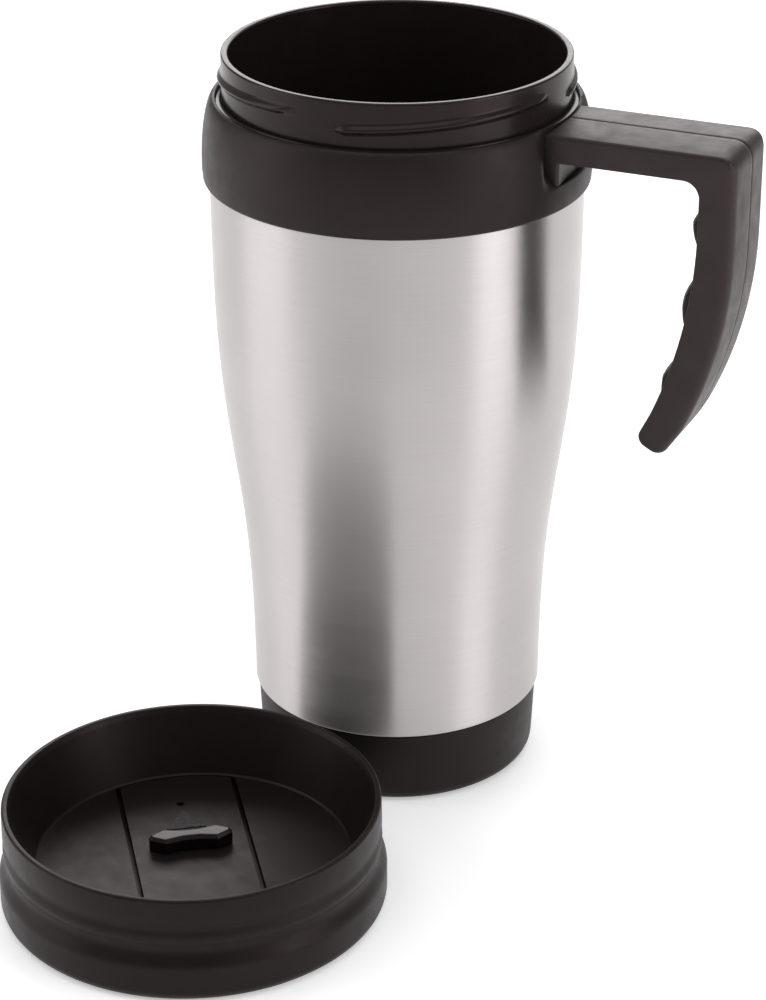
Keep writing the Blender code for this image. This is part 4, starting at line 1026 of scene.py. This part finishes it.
def make_knob():
    """The knob with its bevelled top, and the square stem under it."""
    low = DECK_HEIGHT + FIT_GAP
    top = high_corner("slider_knob").z
    levels = [(low, 0.0), (top - 0.85 * MM, 0.0), (top, 0.75 * MM)]
    shape = bmesh.new()
    rings = []
    for height, inset in levels:
        outline = knob_outline(inset)
        rings.append([shape.verts.new((KNOB_REACH + x, y, height)) for x, y in outline])
    close_rings(shape, rings)
    knob = piece_from("slider_handle", shape, KNOB_PLASTIC, 20.0)
    soften(knob, 0.16 * MM, 2, 14.0)
    stem_outline = rectangle(KNOB_REACH - STEM_HALF, KNOB_REACH + STEM_HALF, STEM_HALF)
    stem_shape = prism_shape(stem_outline, low_corner("slider_knob").z, low + 0.5 * MM)
    stem = piece_from("slider_stem", stem_shape, KNOB_PLASTIC)
    soften(stem, 0.15 * MM, 2, 50.0)
    place(to_lid(knob), "slider", "gloss_black", "slider_knob")
    place(to_lid(stem), "slider", "gloss_black")


def dress(node, material):
    """Give a CAD node that keeps its own shape a material."""
    for slot in frame["nodes"][node].material_slots:
        slot.material = material


# ---- studio -------------------------------------------------------------------------------
CAMERA_AZIMUTH = -67.08
CAMERA_PITCH = 25.413
CAMERA_DISTANCE = 0.6517
CAMERA_HEIGHT = 0.3783
CAMERA_LENS = 108.36
CAMERA_SENSOR = 36.0
CAMERA_SHIFT = (-0.0142, -0.0163)
LIGHT_AIM = 0.08
FLOOR_SIZE = 8.0
FLOOR_STEPS = 8


def make_floor():
    """A white floor that glows a little, so that it stays white to its edges."""
    shape = bmesh.new()
    marks = [FLOOR_SIZE * (step / FLOOR_STEPS - 0.5) for step in range(FLOOR_STEPS + 1)]
    grid = [[shape.verts.new((x, y, 0.0)) for x in marks] for y in marks]
    for near, far in zip(grid, grid[1:]):
        for index in range(FLOOR_STEPS):
            shape.faces.new((near[index], near[index + 1], far[index + 1], far[index]))
    material, *_, shader = new_material("studio_floor")
    shader.inputs["Base Color"].default_value = (0.95, 0.95, 0.95, 1.0)
    shader.inputs["Emission Color"].default_value = (1.0, 1.0, 1.0, 1.0)
    shader.inputs["Emission Strength"].default_value = 0.36
    shader.inputs["Roughness"].default_value = 0.9
    shader.inputs["Specular IOR Level"].default_value = 0.1
    floor = piece_from("studio_floor", shape, material)
    for polygon in floor.data.polygons:
        if polygon.normal.z < 0:
            polygon.flip()


def add_light(name, azimuth, distance, height, width, tall, power):
    """A rectangular light that faces the mug. The azimuth is counted from the camera's."""
    light = bpy.data.lights.new(name, "AREA")
    light.shape = "RECTANGLE"
    light.size = width
    light.size_y = tall
    light.energy = power
    lamp = bpy.data.objects.new(name, light)
    bpy.context.scene.collection.objects.link(lamp)
    angle = math.radians(CAMERA_AZIMUTH + azimuth)
    lamp.location = (distance * math.cos(angle), distance * math.sin(angle), height)
    look = Vector((0.0, 0.0, LIGHT_AIM)) - lamp.location
    lamp.rotation_euler = look.to_track_quat("-Z", "Y").to_euler()
    return lamp


def make_world():
    world = bpy.data.worlds.new("studio")
    bpy.context.scene.world = world
    world.use_nodes = True
    background = world.node_tree.nodes["Background"]
    background.inputs["Color"].default_value = (1.0, 1.0, 1.0, 1.0)
    background.inputs["Strength"].default_value = 0.38


def make_camera():
    camera = bpy.data.cameras.new("camera")
    camera.lens = CAMERA_LENS
    camera.sensor_width = CAMERA_SENSOR
    camera.shift_x, camera.shift_y = CAMERA_SHIFT
    camera.clip_start = 0.05
    camera.clip_end = 20.0
    eye = bpy.data.objects.new("camera", camera)
    bpy.context.scene.collection.objects.link(eye)
    angle = math.radians(CAMERA_AZIMUTH)
    eye.location = (CAMERA_DISTANCE * math.cos(angle), CAMERA_DISTANCE * math.sin(angle),
                    CAMERA_HEIGHT)
    eye.rotation_euler = (math.radians(90.0 - CAMERA_PITCH), 0.0,
                          math.radians(CAMERA_AZIMUTH + 90.0))
    bpy.context.scene.camera = eye


make_camera()
make_world()
make_floor()
add_light("light_left", azimuth=-84.0, distance=1.3, height=0.55, width=0.9, tall=1.3, power=6.0)
add_light("light_right", azimuth=60.0, distance=1.3, height=0.5, width=0.6, tall=1.2, power=6.2)
add_light("light_back", azimuth=175.0, distance=1.6, height=0.9, width=1.8, tall=1.0, power=16.0)
sheen_light = add_light("light_sheen", azimuth=175.0, distance=1.7, height=0.95,
                        width=1.8, tall=1.0, power=2.5)
sheen_light.visible_diffuse = False
add_light("light_top", azimuth=0.0, distance=0.1, height=1.7, width=1.6, tall=1.6, power=9.0)

make_sleeve()
make_liner()
make_collar()
make_base()
make_handle_half("handle_left", 1, "handle_half_left")
make_handle_half("handle_right", -1, "handle_half_right")
make_finger_grip()
make_lid_bowl()
make_lid_skirt()
make_slider()
make_knob()

dress("insulation_sleeve", FOAM)
dress("base_pad", PAD_RUBBER)
for seal in ("collar_seal", "base_seal", "lid_gasket", "slider_seal"):
    dress(seal, SEAL_SILICONE)
dress("slider_clip", DECK_PLASTIC)

bpy.context.scene.view_settings.view_transform = "Standard"
bpy.context.view_layer.update()
